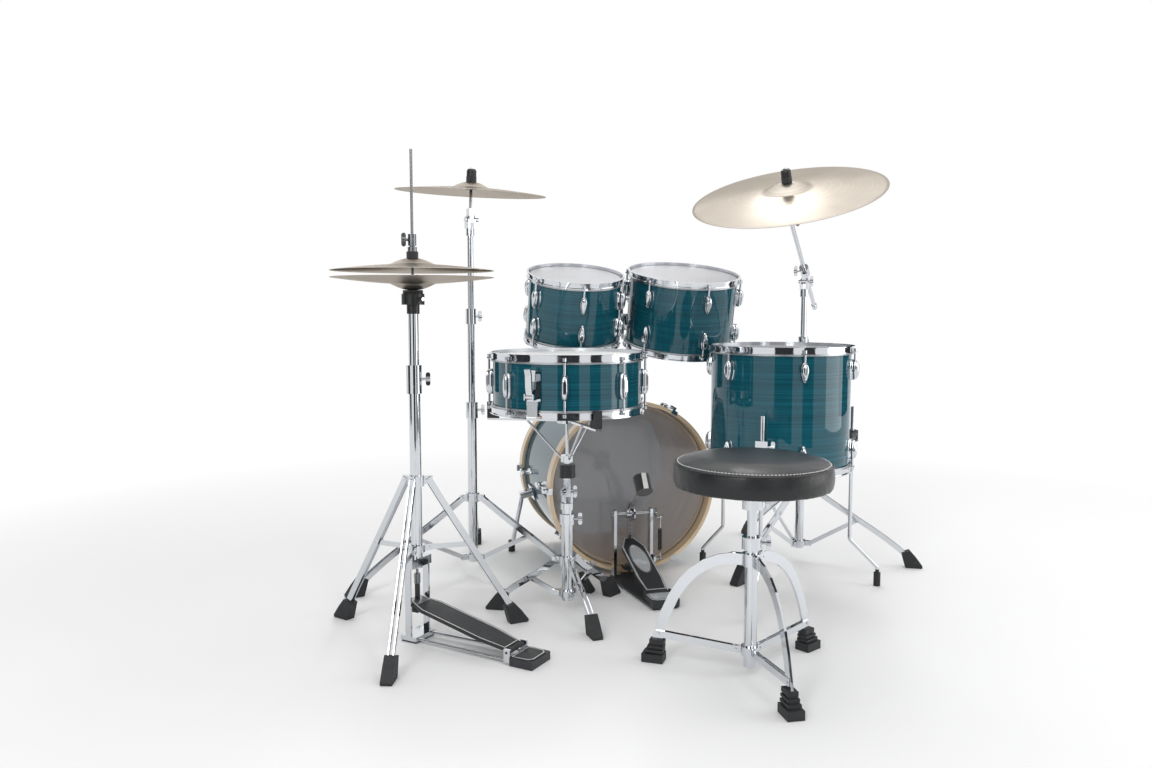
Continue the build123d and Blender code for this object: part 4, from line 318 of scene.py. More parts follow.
def chrome_plate():
    """Polished chromium plate: near mirror, with a slight haze where hands and clamps have rubbed it."""
    material, tree, shader = finish("chromium_plate", colours().chrome, 0.06, 1.0)
    haze = patches(tree, own_space(tree), [26.3] * 3, 4.0, 0.65)
    add(tree, "MapRange", {0: haze, 1: 0.42, 2: 0.75, 3: 0.045, 4: 0.15}, to=shader.inputs["Roughness"])
    return material


def satin_aluminium():
    """Rolled aluminium with a satin brush: pale grey with short fine lines."""
    material, tree, shader = finish("satin_aluminium", colours().plate, 0.34, 1.0)
    # Brush lines of about 0.1 mm are drawn at 1.1 mm so that they show
    lines = patches(tree, own_space(tree), (1.11, 16.7, 1.11))
    add(tree, "MapRange", {0: lines, 1: 0.3, 2: 0.7, 3: 0.26, 4: 0.44}, to=shader.inputs["Roughness"])
    return material


def steel(name, base, roughness):
    """Drawn or pressed steel: duller than plate, with light wear."""
    material, tree, shader = finish(name, base, roughness, 1.0)
    wear = patches(tree, own_space(tree), [16.7] * 3, 3.0)
    dulled = {0: wear, 1: 0.35, 2: 0.7, 3: roughness - 0.03, 4: roughness + 0.08}
    add(tree, "MapRange", dulled, to=shader.inputs["Roughness"])
    return material


def film(name, base, alpha, roughness, gloss=0.5, grit=0.0):
    """Polyester drumhead film: taut and glossy, or with a sprayed coating whose grit dulls it."""
    material, tree, shader = finish(name, base, roughness, IOR=1.6, Alpha=alpha, Specular_IOR_Level=gloss)
    space = own_space(tree)
    cloud = patches(tree, space, [71.4] * 3, 3.0)
    low = [c * 0.94 for c in base[:3]] + [1.0]
    cover(tree, base, low, cloud, 0.35, 0.7, 1.0, to=shader.inputs["Base Color"])
    if grit:
        # Coating grit of about 0.3 mm, drawn at 1 mm
        grains = patches(tree, space, [1.0] * 3, 1.0)
        relief = {"Height": grains, "Distance": grit * MM, "Strength": 0.5}
        add(tree, "Bump", relief, to=shader.inputs["Normal"])
    return material


def lathed_bronze(name, place):
    """Cast and lathed bronze: pale gold grooves that fan the light from the bell to the rim."""
    palette = colours()
    material, tree, shader = finish(
        name, palette.bronze, 0.38, 1.0, Anisotropic=0.82, Specular_Tint=linear("#d9d4ce")
    )
    add(tree, "Tangent", to=shader.inputs["Tangent"], direction_type="UV_MAP", uv_map=LATHE_MAP)
    space = own_space(tree, place)
    out = add(tree, "CombineXYZ", {0: axis_distance(tree, space)})
    # Tool grooves of about 1 mm are drawn wider so that they show
    bands = patches(tree, out, [sizes().groove / MM] * 3, 3.0, 0.65)
    stain = patches(tree, space, [111] * 3, 3.0)
    body = cover(tree, palette.bronze, linear("#a69d93"), bands, 0.3, 0.7, 0.6)
    cover(tree, body, linear("#9a8d7d"), stain, 0.5, 0.8, 0.3, to=shader.inputs["Base Color"])
    add(tree, "MapRange", {0: bands, 1: 0.3, 2: 0.7, 3: 0.32, 4: 0.46}, to=shader.inputs["Roughness"])
    relief = {"Height": bands, "Distance": 0.25 * MM, "Strength": 0.5}
    add(tree, "Bump", relief, to=shader.inputs["Normal"])
    return material


def moulded(name, base, roughness, grain, depth):
    """Moulded rubber or nylon, or sprayed enamel: even, with a fine grain that softens its highlights."""
    material, tree, shader = finish(name, base, roughness)
    space = own_space(tree)
    # A real grain of 0.1 to 0.3 mm is drawn at about 1 mm so that it shows
    fine = patches(tree, space, [grain] * 3)
    scuff = patches(tree, space, [33.3] * 3, 4.0, 0.6)
    worn = [min(1.0, c * 1.9 + 0.008) for c in base[:3]] + [1.0]
    cover(tree, base, worn, scuff, 0.5, 0.75, 0.6, to=shader.inputs["Base Color"])
    dulled = {0: scuff, 1: 0.3, 2: 0.7, 3: roughness - 0.06, 4: roughness + 0.1}
    add(tree, "MapRange", dulled, to=shader.inputs["Roughness"])
    relief = {"Height": fine, "Distance": depth * MM, "Strength": 0.6}
    add(tree, "Bump", relief, to=shader.inputs["Normal"])
    return material


def grained_vinyl(place):
    """Calendered vinyl over foam: black with a pressed leather grain, its creases darkened with painted
    shade, and a soft broad sheen.
    """
    palette = colours()
    material, tree, shader = finish(
        "grained_vinyl", palette.vinyl, 0.4, Specular_IOR_Level=0.34, Coat_Weight=0.3, Coat_Roughness=0.3
    )
    space = own_space(tree, place)
    warp = add(tree, "TexNoise", {"Vector": space, "Scale": 1 / (11.1 * MM), "Detail": 1.0}, out="Color")
    bent = add(tree, "Mix", {0: 0.012, 4: space, 5: warp}, out=1, data_type="VECTOR")
    # Grain cells of about 1 mm are drawn twice as wide so that they show
    pattern = {"Vector": bent, "Scale": 1 / sizes().grain}
    cells = add(tree, "TexVoronoi", pattern, out="Distance", feature="DISTANCE_TO_EDGE")
    creases = add(tree, "MapRange", {0: cells, 2: 0.14})
    # Painted shade: each grain crease is darkened in the colour itself, as the shadow in its hollow
    deep = [c * 0.55 for c in palette.vinyl[:3]] + [1.0]
    shade = {0: creases, 6: deep, 7: palette.vinyl}
    add(tree, "Mix", shade, out=2, to=shader.inputs["Base Color"], data_type="RGBA")
    add(tree, "MapRange", {0: creases, 3: 0.46, 4: 0.3}, to=shader.inputs["Roughness"])
    relief = {"Height": creases, "Distance": 0.3 * MM, "Strength": 0.45}
    add(tree, "Bump", relief, to=shader.inputs["Normal"])
    return material


def pressed_felt(name, base):
    """Pressed wool felt or spun thread: dull, with a fuzzy surface of crossing fibres."""
    material, tree, shader = finish(name, base, 0.92, Sheen_Weight=0.35, Sheen_Roughness=0.5)
    # Fibres of 0.02 mm are drawn as tufts of 1.4 mm so that they show
    fibres = patches(tree, own_space(tree), [1.43] * 3, 4.0, 0.7)
    pale = [min(1.0, c * 2.4 + 0.012) for c in base[:3]] + [1.0]
    cover(tree, base, pale, fibres, 0.4, 0.7, 0.7, to=shader.inputs["Base Color"])
    relief = {"Height": fibres, "Distance": 0.5 * MM, "Strength": 0.8}
    add(tree, "Bump", relief, to=shader.inputs["Normal"])
    return material


def shared(name, make, *arguments):
    """A finish that several pieces share, made once."""
    return bpy.data.materials.get(name) or make(*arguments)


def chrome():
    return shared("chromium_plate", chrome_plate)


def rubber():
    return shared("moulded_rubber", moulded, "moulded_rubber", colours().rubber, 0.62, 1.2, 0.2)


def plastic():
    return shared("moulded_nylon", moulded, "moulded_nylon", colours().plastic, 0.36, 0.9, 0.1)


def powder_coat():
    return shared("powder_coat", moulded, "powder_coat", colours().powder_coat, 0.46, 1.1, 0.15)


def felt():
    return shared("wool_felt", pressed_felt, "wool_felt", colours().felt)


def aluminium():
    return shared("satin_aluminium", satin_aluminium)


def printed():
    return shared("printed_enamel", moulded, "printed_enamel", colours().print, 0.4, 1.2, 0.1)


def pinstripe():
    return shared("pinstripe_enamel", moulded, "pinstripe_enamel", colours().thread, 0.4, 1.2, 0.1)


# Dressing CAD nodes and building pieces


def dress(node, materials, choose=None):
    """Gives a CAD node its finishes; choose picks one by the middle of a face in mm."""
    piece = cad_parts[node]
    piece.data.materials.clear()
    for material in materials:
        piece.data.materials.append(material)
    for face in piece.data.polygons:
        face.material_index = int(choose(face.center / MM)) if choose else 0


def seen_from(place):
    """A rule's view of a point: its distance from a place's axis and its height along it, in mm."""
    back = place.inverted()

    def view(point):
        local = (back @ (point * MM)) / MM
        return math.hypot(local.x, local.y), local.z

    return view


def new_piece(name, mesh, materials, body, place=Matrix(), smooth=True):
    """Puts a bmesh in its place and closes it into a piece, which rides on a body if one is given."""
    bmesh.ops.transform(mesh, matrix=place, verts=mesh.verts)
    data = bpy.data.meshes.new(name)
    mesh.to_mesh(data)
    mesh.free()
    for material in materials:
        data.materials.append(material)
    for face in data.polygons:
        face.use_smooth = smooth
    piece = bpy.data.objects.new(name, data)
    bpy.context.scene.collection.objects.link(piece)
    if body:
        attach(piece, body)
    return piece


def lathe(outline, steps):
    """A bmesh turned from a closed outline of radius and height in metres."""
    mesh = bmesh.new()
    points = [mesh.verts.new((radius, 0, height)) for radius, height in outline]
    runs = [mesh.edges.new(pair) for pair in zip(points, points[1:] + points[:1])]
    whole = 2 * math.pi
    bmesh.ops.spin(
        mesh, geom=points + runs, cent=(0, 0, 0), axis=UP, angle=whole, steps=steps, use_merge=True
    )
    bmesh.ops.remove_doubles(mesh, verts=mesh.verts, dist=1e-6)
    bmesh.ops.recalc_face_normals(mesh, faces=mesh.faces)
    return mesh


def cymbal_outline(radius, bell, bow, height):
    """A cymbal's section: a domed bell, a bowed plate and a rim thinned to an edge."""
    bell_steps, bow_steps = 12, 22
    top = []
    for step in range(bell_steps):
        share = step / bell_steps
        out = CYMBAL_HOLE + (bell - CYMBAL_HOLE) * share
        top.append((out, bow + (height - bow) * math.cos(share * math.pi / 2)))
    for step in range(bow_steps + 1):
        share = step / bow_steps
        top.append((bell + (radius - bell) * share, bow * (1 - 0.6 * share - 0.4 * share**2)))
    thin = 0.5 * CYMBAL_THICKNESS / radius
    under = [(out, level - CYMBAL_THICKNESS + thin * out) for out, level in reversed(top)]
    return [(out * MM, level * MM) for out, level in top + under]


def wrap_lathe(mesh):
    """Adds the map whose first direction runs round a turned piece."""
    whole = 2 * math.pi
    layer = mesh.loops.layers.uv.new(LATHE_MAP)
    for face in mesh.faces:
        middle = face.calc_center_median()
        start = math.atan2(middle.y, middle.x)
        for loop in face.loops:
            spot = loop.vert.co
            turned = math.atan2(spot.y, spot.x) - start
            turned = (turned + math.pi) % whole - math.pi
            loop[layer].uv = ((start + turned) / whole, math.hypot(spot.x, spot.y) * 4)


def flat_plate(outline, low, high, edge=0.5 * MM):
    """A bmesh plate from an outline, with softened edges; gives it and its top face."""
    mesh = bmesh.new()
    base = mesh.faces.new([mesh.verts.new((x, y, low)) for x, y in outline])
    raised = bmesh.ops.extrude_face_region(mesh, geom=[base])
    tops = [item for item in raised["geom"] if isinstance(item, bmesh.types.BMVert)]
    bmesh.ops.translate(mesh, verts=tops, vec=(0, 0, high - low))
    bmesh.ops.recalc_face_normals(mesh, faces=mesh.faces)
    bmesh.ops.bevel(
        mesh, geom=list(mesh.edges), offset=edge, affect="EDGES", segments=2, profile=0.5, material=-1
    )
    top = max(mesh.faces, key=lambda face: face.calc_center_median().z + face.calc_area())
    return mesh, top


def border(mesh, top, width, index, depth=0.0):
    """Insets a top face and gives the band round it one material."""
    band = bmesh.ops.inset_region(mesh, faces=[top], thickness=width, depth=depth)["faces"]
    for face in band:
        face.material_index = index


def oval(length, width, count, middle):
    """An outline of points on an oval."""
    turns = [2 * math.pi * step / count for step in range(count)]
    return [(middle + length * math.cos(turn), width * math.sin(turn)) for turn in turns]


def board_outline(length, narrow, wide, toe, margin):
    """A footboard's outline in metres, drawn in by a margin."""
    corners = [(9, narrow), (0.25 * length, wide), (0.82 * length, wide), (length - margin, toe)]
    right = [(x * MM, -(half - margin) * MM) for x, half in corners]
    left = [(x, -y) for x, y in reversed(right)]
    return right + left


class DRUMKIT_OT_shells(bpy.types.Operator):
    """Lacquers the outside of each shell and leaves its inside raw"""

    bl_idname = "drumkit.shells"
    bl_label = "Shells"
    bl_options = {"REGISTER", "UNDO"}

    def execute(self, context):
        lacquer_depth = 0.6
        for drum, (place, radius) in DRUMS.items():
            view = seen_from(place)
            skin = radius - lacquer_depth
            lacquer = stained_lacquer(f"stained_lacquer_{drum}", place)
            ply = raw_ply(f"raw_ply_{drum}", place)
            dress(f"{drum}_shell", [lacquer, ply], lambda point: view(point)[0] < skin)
        return {"FINISHED"}


class DRUMKIT_OT_heads(bpy.types.Operator):
    """Gives each drum its films: coated, clear, or light grey with painted shade"""

    bl_idname = "drumkit.heads"
    bl_label = "Heads"
    bl_options = {"REGISTER", "UNDO"}

    def execute(self, context):
        palette = colours()
        coated = film("coated_film", palette.coated_head, 1.0, 0.5, grit=0.12)
        pale = film("milky_film", palette.tom_head, 0.82, 0.3, 0.12)
        clear = film("clear_film", linear("#dfe2e4"), 0.3, 0.05)
        batter = film("bass_batter_film", palette.bass_head, 0.26, 0.035, 0.9)
        # The resonant bass head is painted light grey: painted shade, the shadow on a white head seen
        # inside the drum
        front = film("grey_film_painted_shade", linear("#a9acb0"), 0.86, 0.3)
        flesh_hoop, resonant_side = 1.2, -40
        for drum, batter_film, resonant in (
            ("bass", batter, front),
            ("small_tom", pale, clear),
            ("large_tom", pale, clear),
            ("floor_tom", pale, clear),
            ("snare", coated, clear),
        ):
            place, radius = DRUMS[drum]
            view = seen_from(place)

            def choose(point):
                out, height = view(point)
                if out > radius + flesh_hoop:
                    return 2
                return height < resonant_side

            dress(f"{drum}_heads", [batter_film, resonant, aluminium()], choose)
        return {"FINISHED"}


class DRUMKIT_OT_hoops(bpy.types.Operator):
    """Plates the steel hoops and lacquers the wooden ones"""

    bl_idname = "drumkit.hoops"
    bl_label = "Hoops"
    bl_options = {"REGISTER", "UNDO"}

    def execute(self, context):
        for drum in ("small_tom", "large_tom", "floor_tom", "snare"):
            dress(f"{drum}_hoops", [chrome()])
        dress("bass_hoops", [maple_hoop("maple_hoop", DRUMS["bass"][0])])
        return {"FINISHED"}


class DRUMKIT_OT_fittings(bpy.types.Operator):
    """Plates lugs, brackets, arms and the strainer, and blackens the rubber tips"""

    bl_idname = "drumkit.fittings"
    bl_label = "Fittings"
    bl_options = {"REGISTER", "UNDO"}

    def execute(self, context):
        plated = (
            "bass_fittings small_tom_lugs large_tom_lugs small_tom_arm large_tom_arm tom_mount_post "
            "floor_tom_fittings snare_lugs snare_strainer strainer_lever"
        )
        for node in plated.split():
            dress(node, [chrome()])
        spur_tip, leg_tip = 34.1, 36.2
        for node, tip in (("spur_left", spur_tip), ("spur_right", spur_tip), ("floor_tom_legs", leg_tip)):
            dress(node, [chrome(), rubber()], lambda point: point.z < tip)
        dress("snare_wires", [steel("drawn_steel_wire", linear("#b9bdc0"), 0.26)])
        return {"FINISHED"}


def teardrop_outline():
    """A lug's outline: a shoulder at the rod, full below it, then drawn out to a blunt point."""
    round_shoulder, middle = 8.4, -15
    half = [(round_shoulder, 0), (9.5, -5), (10.2, -10), (10.1, -16), (9.1, -23)]
    half += [(7.5, -30), (5.7, -36.5), (4.0, -41)]
    point = [(2.4, -43.6), (0, -44.4), (-2.4, -43.6)]
    outline = half + point + [(-x, y) for x, y in reversed(half)]
    for step in range(5, 0, -1):
        turn = step * math.pi / 6
        outline.append((round_shoulder * math.cos(turn), round_shoulder * math.sin(turn)))
    return [(x * MM, y * MM) for x, y in outline], middle * MM


def spindle_outline():
    """A bridge lug's outline: a full oval with long sides."""
    long, wide, fullness, count = 31 * MM, 8.8 * MM, 2 / 3, 24
    outline = []
    for step in range(count):
        turn = 2 * math.pi * step / count
        x, y = math.cos(turn), math.sin(turn)
        across = math.copysign(abs(x) ** fullness, x) * wide
        outline.append((across, math.copysign(abs(y) ** fullness, y) * long))
    return outline, 0.0


def lug_pattern(outline, middle, height, fullness):
    """One casting: a foot in the shell's curve and a dome whose rings shrink towards the middle."""
    foot = -5 * MM
    mesh = bmesh.new()
    face = mesh.faces.new([mesh.verts.new((x, y, foot)) for x, y in outline])
    centred = Matrix.Translation((0, -middle, 0))
    level, before = foot, 1.0
    for share in (1.0, 0.97, 0.9, 0.8, 0.65, 0.45, 0.2):
        raised = bmesh.ops.extrude_face_region(mesh, geom=[face])["geom"]
        face = next(item for item in raised if isinstance(item, bmesh.types.BMFace))
        rise = height * MM * (1 - share**fullness) ** (1 / fullness)
        shrink = share / before
        bmesh.ops.scale(mesh, vec=(shrink, shrink, 1), space=centred, verts=face.verts)
        bmesh.ops.translate(mesh, vec=(0, 0, rise - level), verts=face.verts)
        level, before = rise, share
    bmesh.ops.recalc_face_normals(mesh, faces=mesh.faces)
    data = bpy.data.meshes.new("lug_pattern")
    mesh.to_mesh(data)
    mesh.free()
    return data


def cast_lugs(drum, shape, ends, body, depth, first, count, drop, height, fullness):
    """Sets copies of one casting round a drum, near its batter edge and turned over near the other."""
    place, radius = DRUMS[drum]
    pattern = lug_pattern(*shape, height, fullness)
    outward = Matrix(((0, 0, 1, 0), (1, 0, 0, 0), (0, 1, 0, 0), (0, 0, 0, 1)))
    castings = bmesh.new()
    for index in range(count):
        for end in ends:
            level = -drop if end > 0 else drop - depth
            turn = Matrix.Rotation(math.radians(first + 360 / count * index), 4, "Z")
            seat = turn @ Matrix.Translation((radius * MM, 0, level * MM))
            if end < 0:
                seat = seat @ Matrix.Rotation(math.pi, 4, "X")
            castings.from_mesh(pattern)
            castings.verts.ensure_lookup_table()
            added = castings.verts[-len(pattern.vertices):]
            bmesh.ops.transform(castings, matrix=place @ seat @ outward, verts=added)
    bpy.data.meshes.remove(pattern)
    new_piece(f"{drum}_lug_castings", castings, [chrome()], body)


class DRUMKIT_OT_lugs(bpy.types.Operator):
    """Casts a full rounded cover over each lug"""

    bl_idname = "drumkit.lugs"
    bl_label = "Lugs"
    bl_options = {"REGISTER", "UNDO"}

    def execute(self, context):
        for drum, row in LUGS.items():
            cast_lugs(drum, teardrop_outline(), (1, -1), *row)
        cast_lugs("snare", spindle_outline(), (1,), *SNARE_LUGS)
        return {"FINISHED"}


def dress_basket():
    """Rubber grips at the ends of the snare basket's arms, and the plastic knob below them."""
    snare = seen_from(DRUMS["snare"][0])
    grip_out, grip_low = 160, 479.05
    knob_out, knob_low, knob_high = 8.02, 336.9, 369.1

    def choose(point):
        out, _ = snare(point)
        if out > grip_out and point.z > grip_low:
            return 1
        return 2 if out > knob_out and knob_low < point.z < knob_high else 0

    dress("snare_basket", [chrome(), rubber(), plastic()], choose)


def dress_hihat():
    """The hi-hat's drawn rod with its link and felts, its seat cup, and its black heel and pads."""
    hat = seen_from(along(UP, (*HAT_AT, 0)))
    link_top = 127
    felt_hole, felt_low, felt_high = 6.03, 856.0, 869.95
    cup_top, screw_out = 778.05, 25.3
    heel_back, heel_top = 7.5, 18.6
    pad_top, pad_reach, pad_out = 4.02, -300, 40

    def rod(point):
        out, height = hat(point)
        if height < link_top:
            return 1
        return 2 if out > felt_hole and felt_low < height < felt_high else 0

    drawn = steel("drawn_steel_rod", linear("#7d8083"), 0.24)
    dress("hihat_pull_rod", [drawn, plastic(), felt()], rod)

    def cup(point):
        out, height = hat(point)
        if height > cup_top:
            return 1
        return 2 if out > screw_out else 0

    dress("hihat_seat_cup", [plastic(), felt(), chrome()], cup)

    def base(point):
        back = -(point - HAT_HINGE).dot(HAT_TOE)
        if back > heel_back and point.z < heel_top:
            return 1
        return 2 if point.z < pad_top and back > pad_reach and hat(point)[0] < pad_out else 0

    dress("hihat_tripod", [chrome(), powder_coat(), rubber()], base)


def dress_felts(node, seat, crown):
    """A tilter's plastic sleeve, its two felts below and above the bell, and the nut on top."""
    view = seen_from(seat)
    sleeve_out, sleeve_low = 14, crown - 46
    felt_hole, felt_out = 6.03, 20
    felt_low, felt_high = crown - 15.05, crown + 14.05

    def choose(point):
        out, height = view(point)
        if out < sleeve_out and sleeve_low < height < felt_low:
            return 2
        if out < felt_hole or height < felt_low or out > felt_out:
            return 0
        return 1 if height < felt_high else 2

    dress(node, [chrome(), felt(), plastic()], choose)


class DRUMKIT_OT_stands(bpy.types.Operator):
    """Plates the stands and gives felts, nuts, knob, grips and heel their own finishes"""

    bl_idname = "drumkit.stands"
    bl_label = "Stands"
    bl_options = {"REGISTER", "UNDO"}

    def execute(self, context):
        plated = (
            "snare_stand_tripod snare_stand_post crash_tripod crash_middle_tube crash_upper_tube "
            "ride_tripod ride_middle_tube ride_upper_tube ride_boom_clamp throne_tripod throne_post "
            "throne_seat_bracket hihat_upper_tube"
        )
        for node in plated.split():
            dress(node, [chrome()])
        dress("rubber_feet", [rubber()])
        dress_felts("crash_tilter", CRASH_SEAT, 100.0)
        dress_felts("ride_boom_arm", RIDE_SEAT, 106.0)
        dress_basket()
        dress_hihat()
        return {"FINISHED"}


class DRUMKIT_OT_cymbals(bpy.types.Operator):
    """Turns the four cymbals with a thin rim and lathed bronze"""

    bl_idname = "drumkit.cymbals"
    bl_label = "Cymbals"
    bl_options = {"REGISTER", "UNDO"}

    def execute(self, context):
        for node, (place, radius, bell, bow, height, body) in CYMBALS.items():
            mesh = lathe(cymbal_outline(radius, bell, bow, height), CYMBAL_STEPS)
            wrap_lathe(mesh)
            material = lathed_bronze(f"lathed_bronze_{node}", place)
            piece = new_piece(f"{node}_plate", mesh, [material], body, place)
            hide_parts(node)
        return {"FINISHED"}


def stuff_seat(cushion, bottom, seam):
    """Remeshes the cover and lets air swell it, held at its board and along its seam."""
    scene = bpy.context.scene
    voxel, pressure, frames, smoothing = 5 * MM, 4.0, 20, 14
    board, seam_half = 3 * MM, 2.6 * MM
    even = cushion.modifiers.new("even", "REMESH")
    even.mode = "VOXEL"
    even.voxel_size = voxel
    even.use_smooth_shade = True
    settle(cushion)
    held = cushion.vertex_groups.new(name="held")
    still = [vertex.co.copy() for vertex in cushion.data.vertices]
    pinned = []
    for index, spot in enumerate(still):
        if spot.z < bottom + board or abs(spot.z - seam) < seam_half:
            pinned.append(index)
    held.add(pinned, 1.0, "REPLACE")
    cloth = cushion.modifiers.new("air", "CLOTH")
    cloth.settings.use_pressure = True
    cloth.settings.uniform_pressure_force = pressure
    cloth.settings.vertex_group_mass = "held"
    cloth.settings.effector_weights.gravity = 0
    cloth.point_cache.frame_end = frames
    for step in range(1, frames + 1):
        scene.frame_set(step)
    settle(cushion)
    scene.frame_set(1)
    cap = sizes().puff
    for vertex, start in zip(cushion.data.vertices, still):
        moved = vertex.co - start
        if moved.length > cap:
            vertex.co = start + moved * (cap / moved.length)
    mesh = bmesh.new()
    mesh.from_mesh(cushion.data)
    mesh.verts.ensure_lookup_table()
    kept = set(pinned)
    loose = [vertex for vertex in mesh.verts if vertex.index not in kept]
    for _ in range(smoothing):
        bmesh.ops.smooth_vert(
            mesh, verts=loose, factor=0.5, use_axis_x=True, use_axis_y=True, use_axis_z=True
        )
    mesh.to_mesh(cushion.data)
    mesh.free()


def settle(cushion):
    """Replaces a piece's mesh by what its modifiers make of it."""
    held = cushion.evaluated_get(bpy.context.evaluated_depsgraph_get())
    data = bpy.data.meshes.new_from_object(held)
    cushion.modifiers.clear()
    cushion.data = data


def sew_seat(cushion, place, radius, seam, vinyl):
    """Adds the piping on the seam and the white stitches above it."""
    fabric = bmesh.new()
    fabric.from_mesh(cushion.data)
    skin = BVHTree.FromBMesh(fabric)
    fabric.free()
    centre = place.translation
    clear, tries = 50 * MM, 16
    pipe, pipe_steps, pipe_sides = sizes().welt, 128, 8
    above_seam, stitch_half = 4.2 * MM, 0.9 * MM

    def surface(turn, height):
        out = Vector((math.cos(turn), math.sin(turn), 0))
        start = centre + out * (radius + clear) + UP * height
        spot = skin.ray_cast(start, -out)[0]
        if spot is None:
            raise RuntimeError("The seat cover has no skin where its seam runs")
        return spot

    turns = [2 * math.pi * step / tries for step in range(tries)]
    ring = sum((surface(turn, seam) - centre).xy.length for turn in turns) / tries
    section = []
    for step in range(pipe_sides):
        turn = 2 * math.pi * step / pipe_sides
        section.append((ring + pipe * math.cos(turn), seam + pipe * math.sin(turn)))
    mesh = lathe(section, pipe_steps)
    new_piece("seat_welt", mesh, [vinyl], "throne_seat", place)
    count = int(2 * math.pi * ring / sizes().stitch_pitch)
    mesh = bmesh.new()
    for step in range(count):
        turn = 2 * math.pi * step / count
        spot = surface(turn, seam + above_seam)
        out = Vector((math.cos(turn), math.sin(turn), 0))
        side = UP.cross(out)
        spin = Matrix((side, out, UP)).transposed().to_4x4()
        scale = Matrix.Diagonal((sizes().stitch_length / 2, stitch_half, stitch_half, 1))
        lie = Matrix.Translation(spot) @ spin @ scale
        bmesh.ops.create_uvsphere(mesh, u_segments=6, v_segments=5, radius=1.0, matrix=lie)
    thread = pressed_felt("sewing_thread", colours().thread)
    new_piece("seat_stitches", mesh, [thread], "throne_seat")


class DRUMKIT_OT_seat(bpy.types.Operator):
    """Stuffs and sews the round seat"""

    bl_idname = "drumkit.seat"
    bl_label = "Seat"
    bl_options = {"REGISTER", "UNDO"}

    def execute(self, context):
        low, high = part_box("throne_seat")
        middle = (low + high) / 2
        radius = (high.x - low.x) / 2
        rise = high.z - low.z
        place = Matrix.Translation((middle.x, middle.y, low.z))
        seam = rise - 17 * MM
        # How far in from the side and how high, a little smaller than the seat, because the cover swells
        outline = [(radius, 0), (9 * MM, 0), (6 * MM, 4 * MM), (4 * MM, seam / 2)]
        outline += [(6 * MM, seam - 5 * MM), (8 * MM, seam), (8 * MM, seam + 5 * MM)]
        outline += [(15 * MM, rise - 9 * MM), (32 * MM, rise - 6 * MM)]
        outline += [(radius / 2, rise - 4.5 * MM), (radius, rise - 4 * MM)]
        mesh = lathe([(radius - inward, height) for inward, height in outline], 96)
        vinyl = grained_vinyl(place)
        cushion = new_piece("seat_cushion", mesh, [vinyl], "", place)
        stuff_seat(cushion, low.z, low.z + seam)
        smoother = cushion.modifiers.new("finer", "SUBSURF")
        smoother.levels = smoother.render_levels = 1
        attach(cushion, "throne_seat")
        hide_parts("throne_seat")
        sew_seat(cushion, place, radius, seam, vinyl)
        return {"FINISHED"}


def cover_boards():
    """Lays a smooth cover with its trim line on each board, and a plate on each heel."""
    top = BOARD_HALF * MM
    cover_thick, plate_low, trim_width, margin = 1.5 * MM, 1.4 * MM, 2.2 * MM, 0.6
    for name, place, length, narrow, wide, toe, edge, first, trim, body in (
        ("bass_pedal", BASS_TREAD, BASS_BOARD, 28, 34, 15, 4.5, 1, printed(), "pedal_footboard"),
        ("hihat_pedal", HAT_TREAD, HAT_BOARD, 28, 37, 20, 2.4, 0, pinstripe(), "hihat_footboard"),
    ):
        outline = board_outline(length, narrow, wide, toe, margin)
        mesh, face = flat_plate(outline, top, top + cover_thick)
        border(mesh, face, edge * MM, first)
        border(mesh, face, trim_width, 1 - first)
        new_piece(f"{name}_cover", mesh, [powder_coat(), trim], body, place, False)
    low = top + plate_low
    mesh, face = flat_plate(oval(66 * MM, 24 * MM, 40, 150 * MM), low, low + 1.0 * MM)
    border(mesh, face, 2.0 * MM, 1, -0.4 * MM)
    finishes = [printed(), powder_coat()]
    new_piece("bass_pedal_plate", mesh, finishes, "pedal_footboard", BASS_TREAD, False)
    toe_plate = [(x * MM, y * MM) for x, y in ((252, -22), (279, -18), (279, 18), (252, 22))]
    mesh, _ = flat_plate(toe_plate, low, low + 0.8 * MM)
    finishes = [aluminium()]
    new_piece("hihat_toe_plate", mesh, finishes, "hihat_footboard", HAT_TREAD, False)
    heel = [(9.5, -35), (52, -35), (62, -24), (62, 24), (52, 35), (9.5, 35)]
    for name, hinge, toe, level, finishes in (
        ("bass_pedal_heel", BASS_HINGE, BASS_TOE, 26, [printed(), powder_coat()]),
        ("hihat_pedal_heel", HAT_HINGE, HAT_TOE, 18, [powder_coat(), pinstripe()]),
    ):
        outline = [(-x * MM, -y * MM) for x, y in heel]
        mesh, face = flat_plate(outline, level * MM, (level + 1.6) * MM)
        border(mesh, face, 3.0 * MM, 0)
        border(mesh, face, trim_width, 1)
        place = tread(Vector((hinge.x, hinge.y, 0)), toe, 0)
        new_piece(name, mesh, finishes, "kit", place, False)


def dress_beater():
    """A felt head with a white nylon cap on a plated shaft."""
    rise = Vector((0, -math.sin(BEATER_LEAN), math.cos(BEATER_LEAN)))
    aside, reach, head_radius, cap = 13, 160, 34, 21.0
    head = AXLE - Vector((aside, 0, 0)) + rise * reach
    nylon = moulded("white_nylon", linear("#e2e2de"), 0.4, 1.1, 0.1)

    def choose(point):
        if (point - head).length > head_radius:
            return 0
        return 2 if (point - head).dot(rise) > cap else 1

    dress("pedal_beater", [chrome(), felt(), nylon], choose)


def dress_pedal_base():
    """Plated posts on a black base with rubber pads."""
    pad_top, post_low = 4.0, 31.5

    def choose(point):
        if point.z < pad_top:
            return 2
        return 0 if point.z > post_low else 1

    dress("pedal_frame", [chrome(), powder_coat(), rubber()], choose)


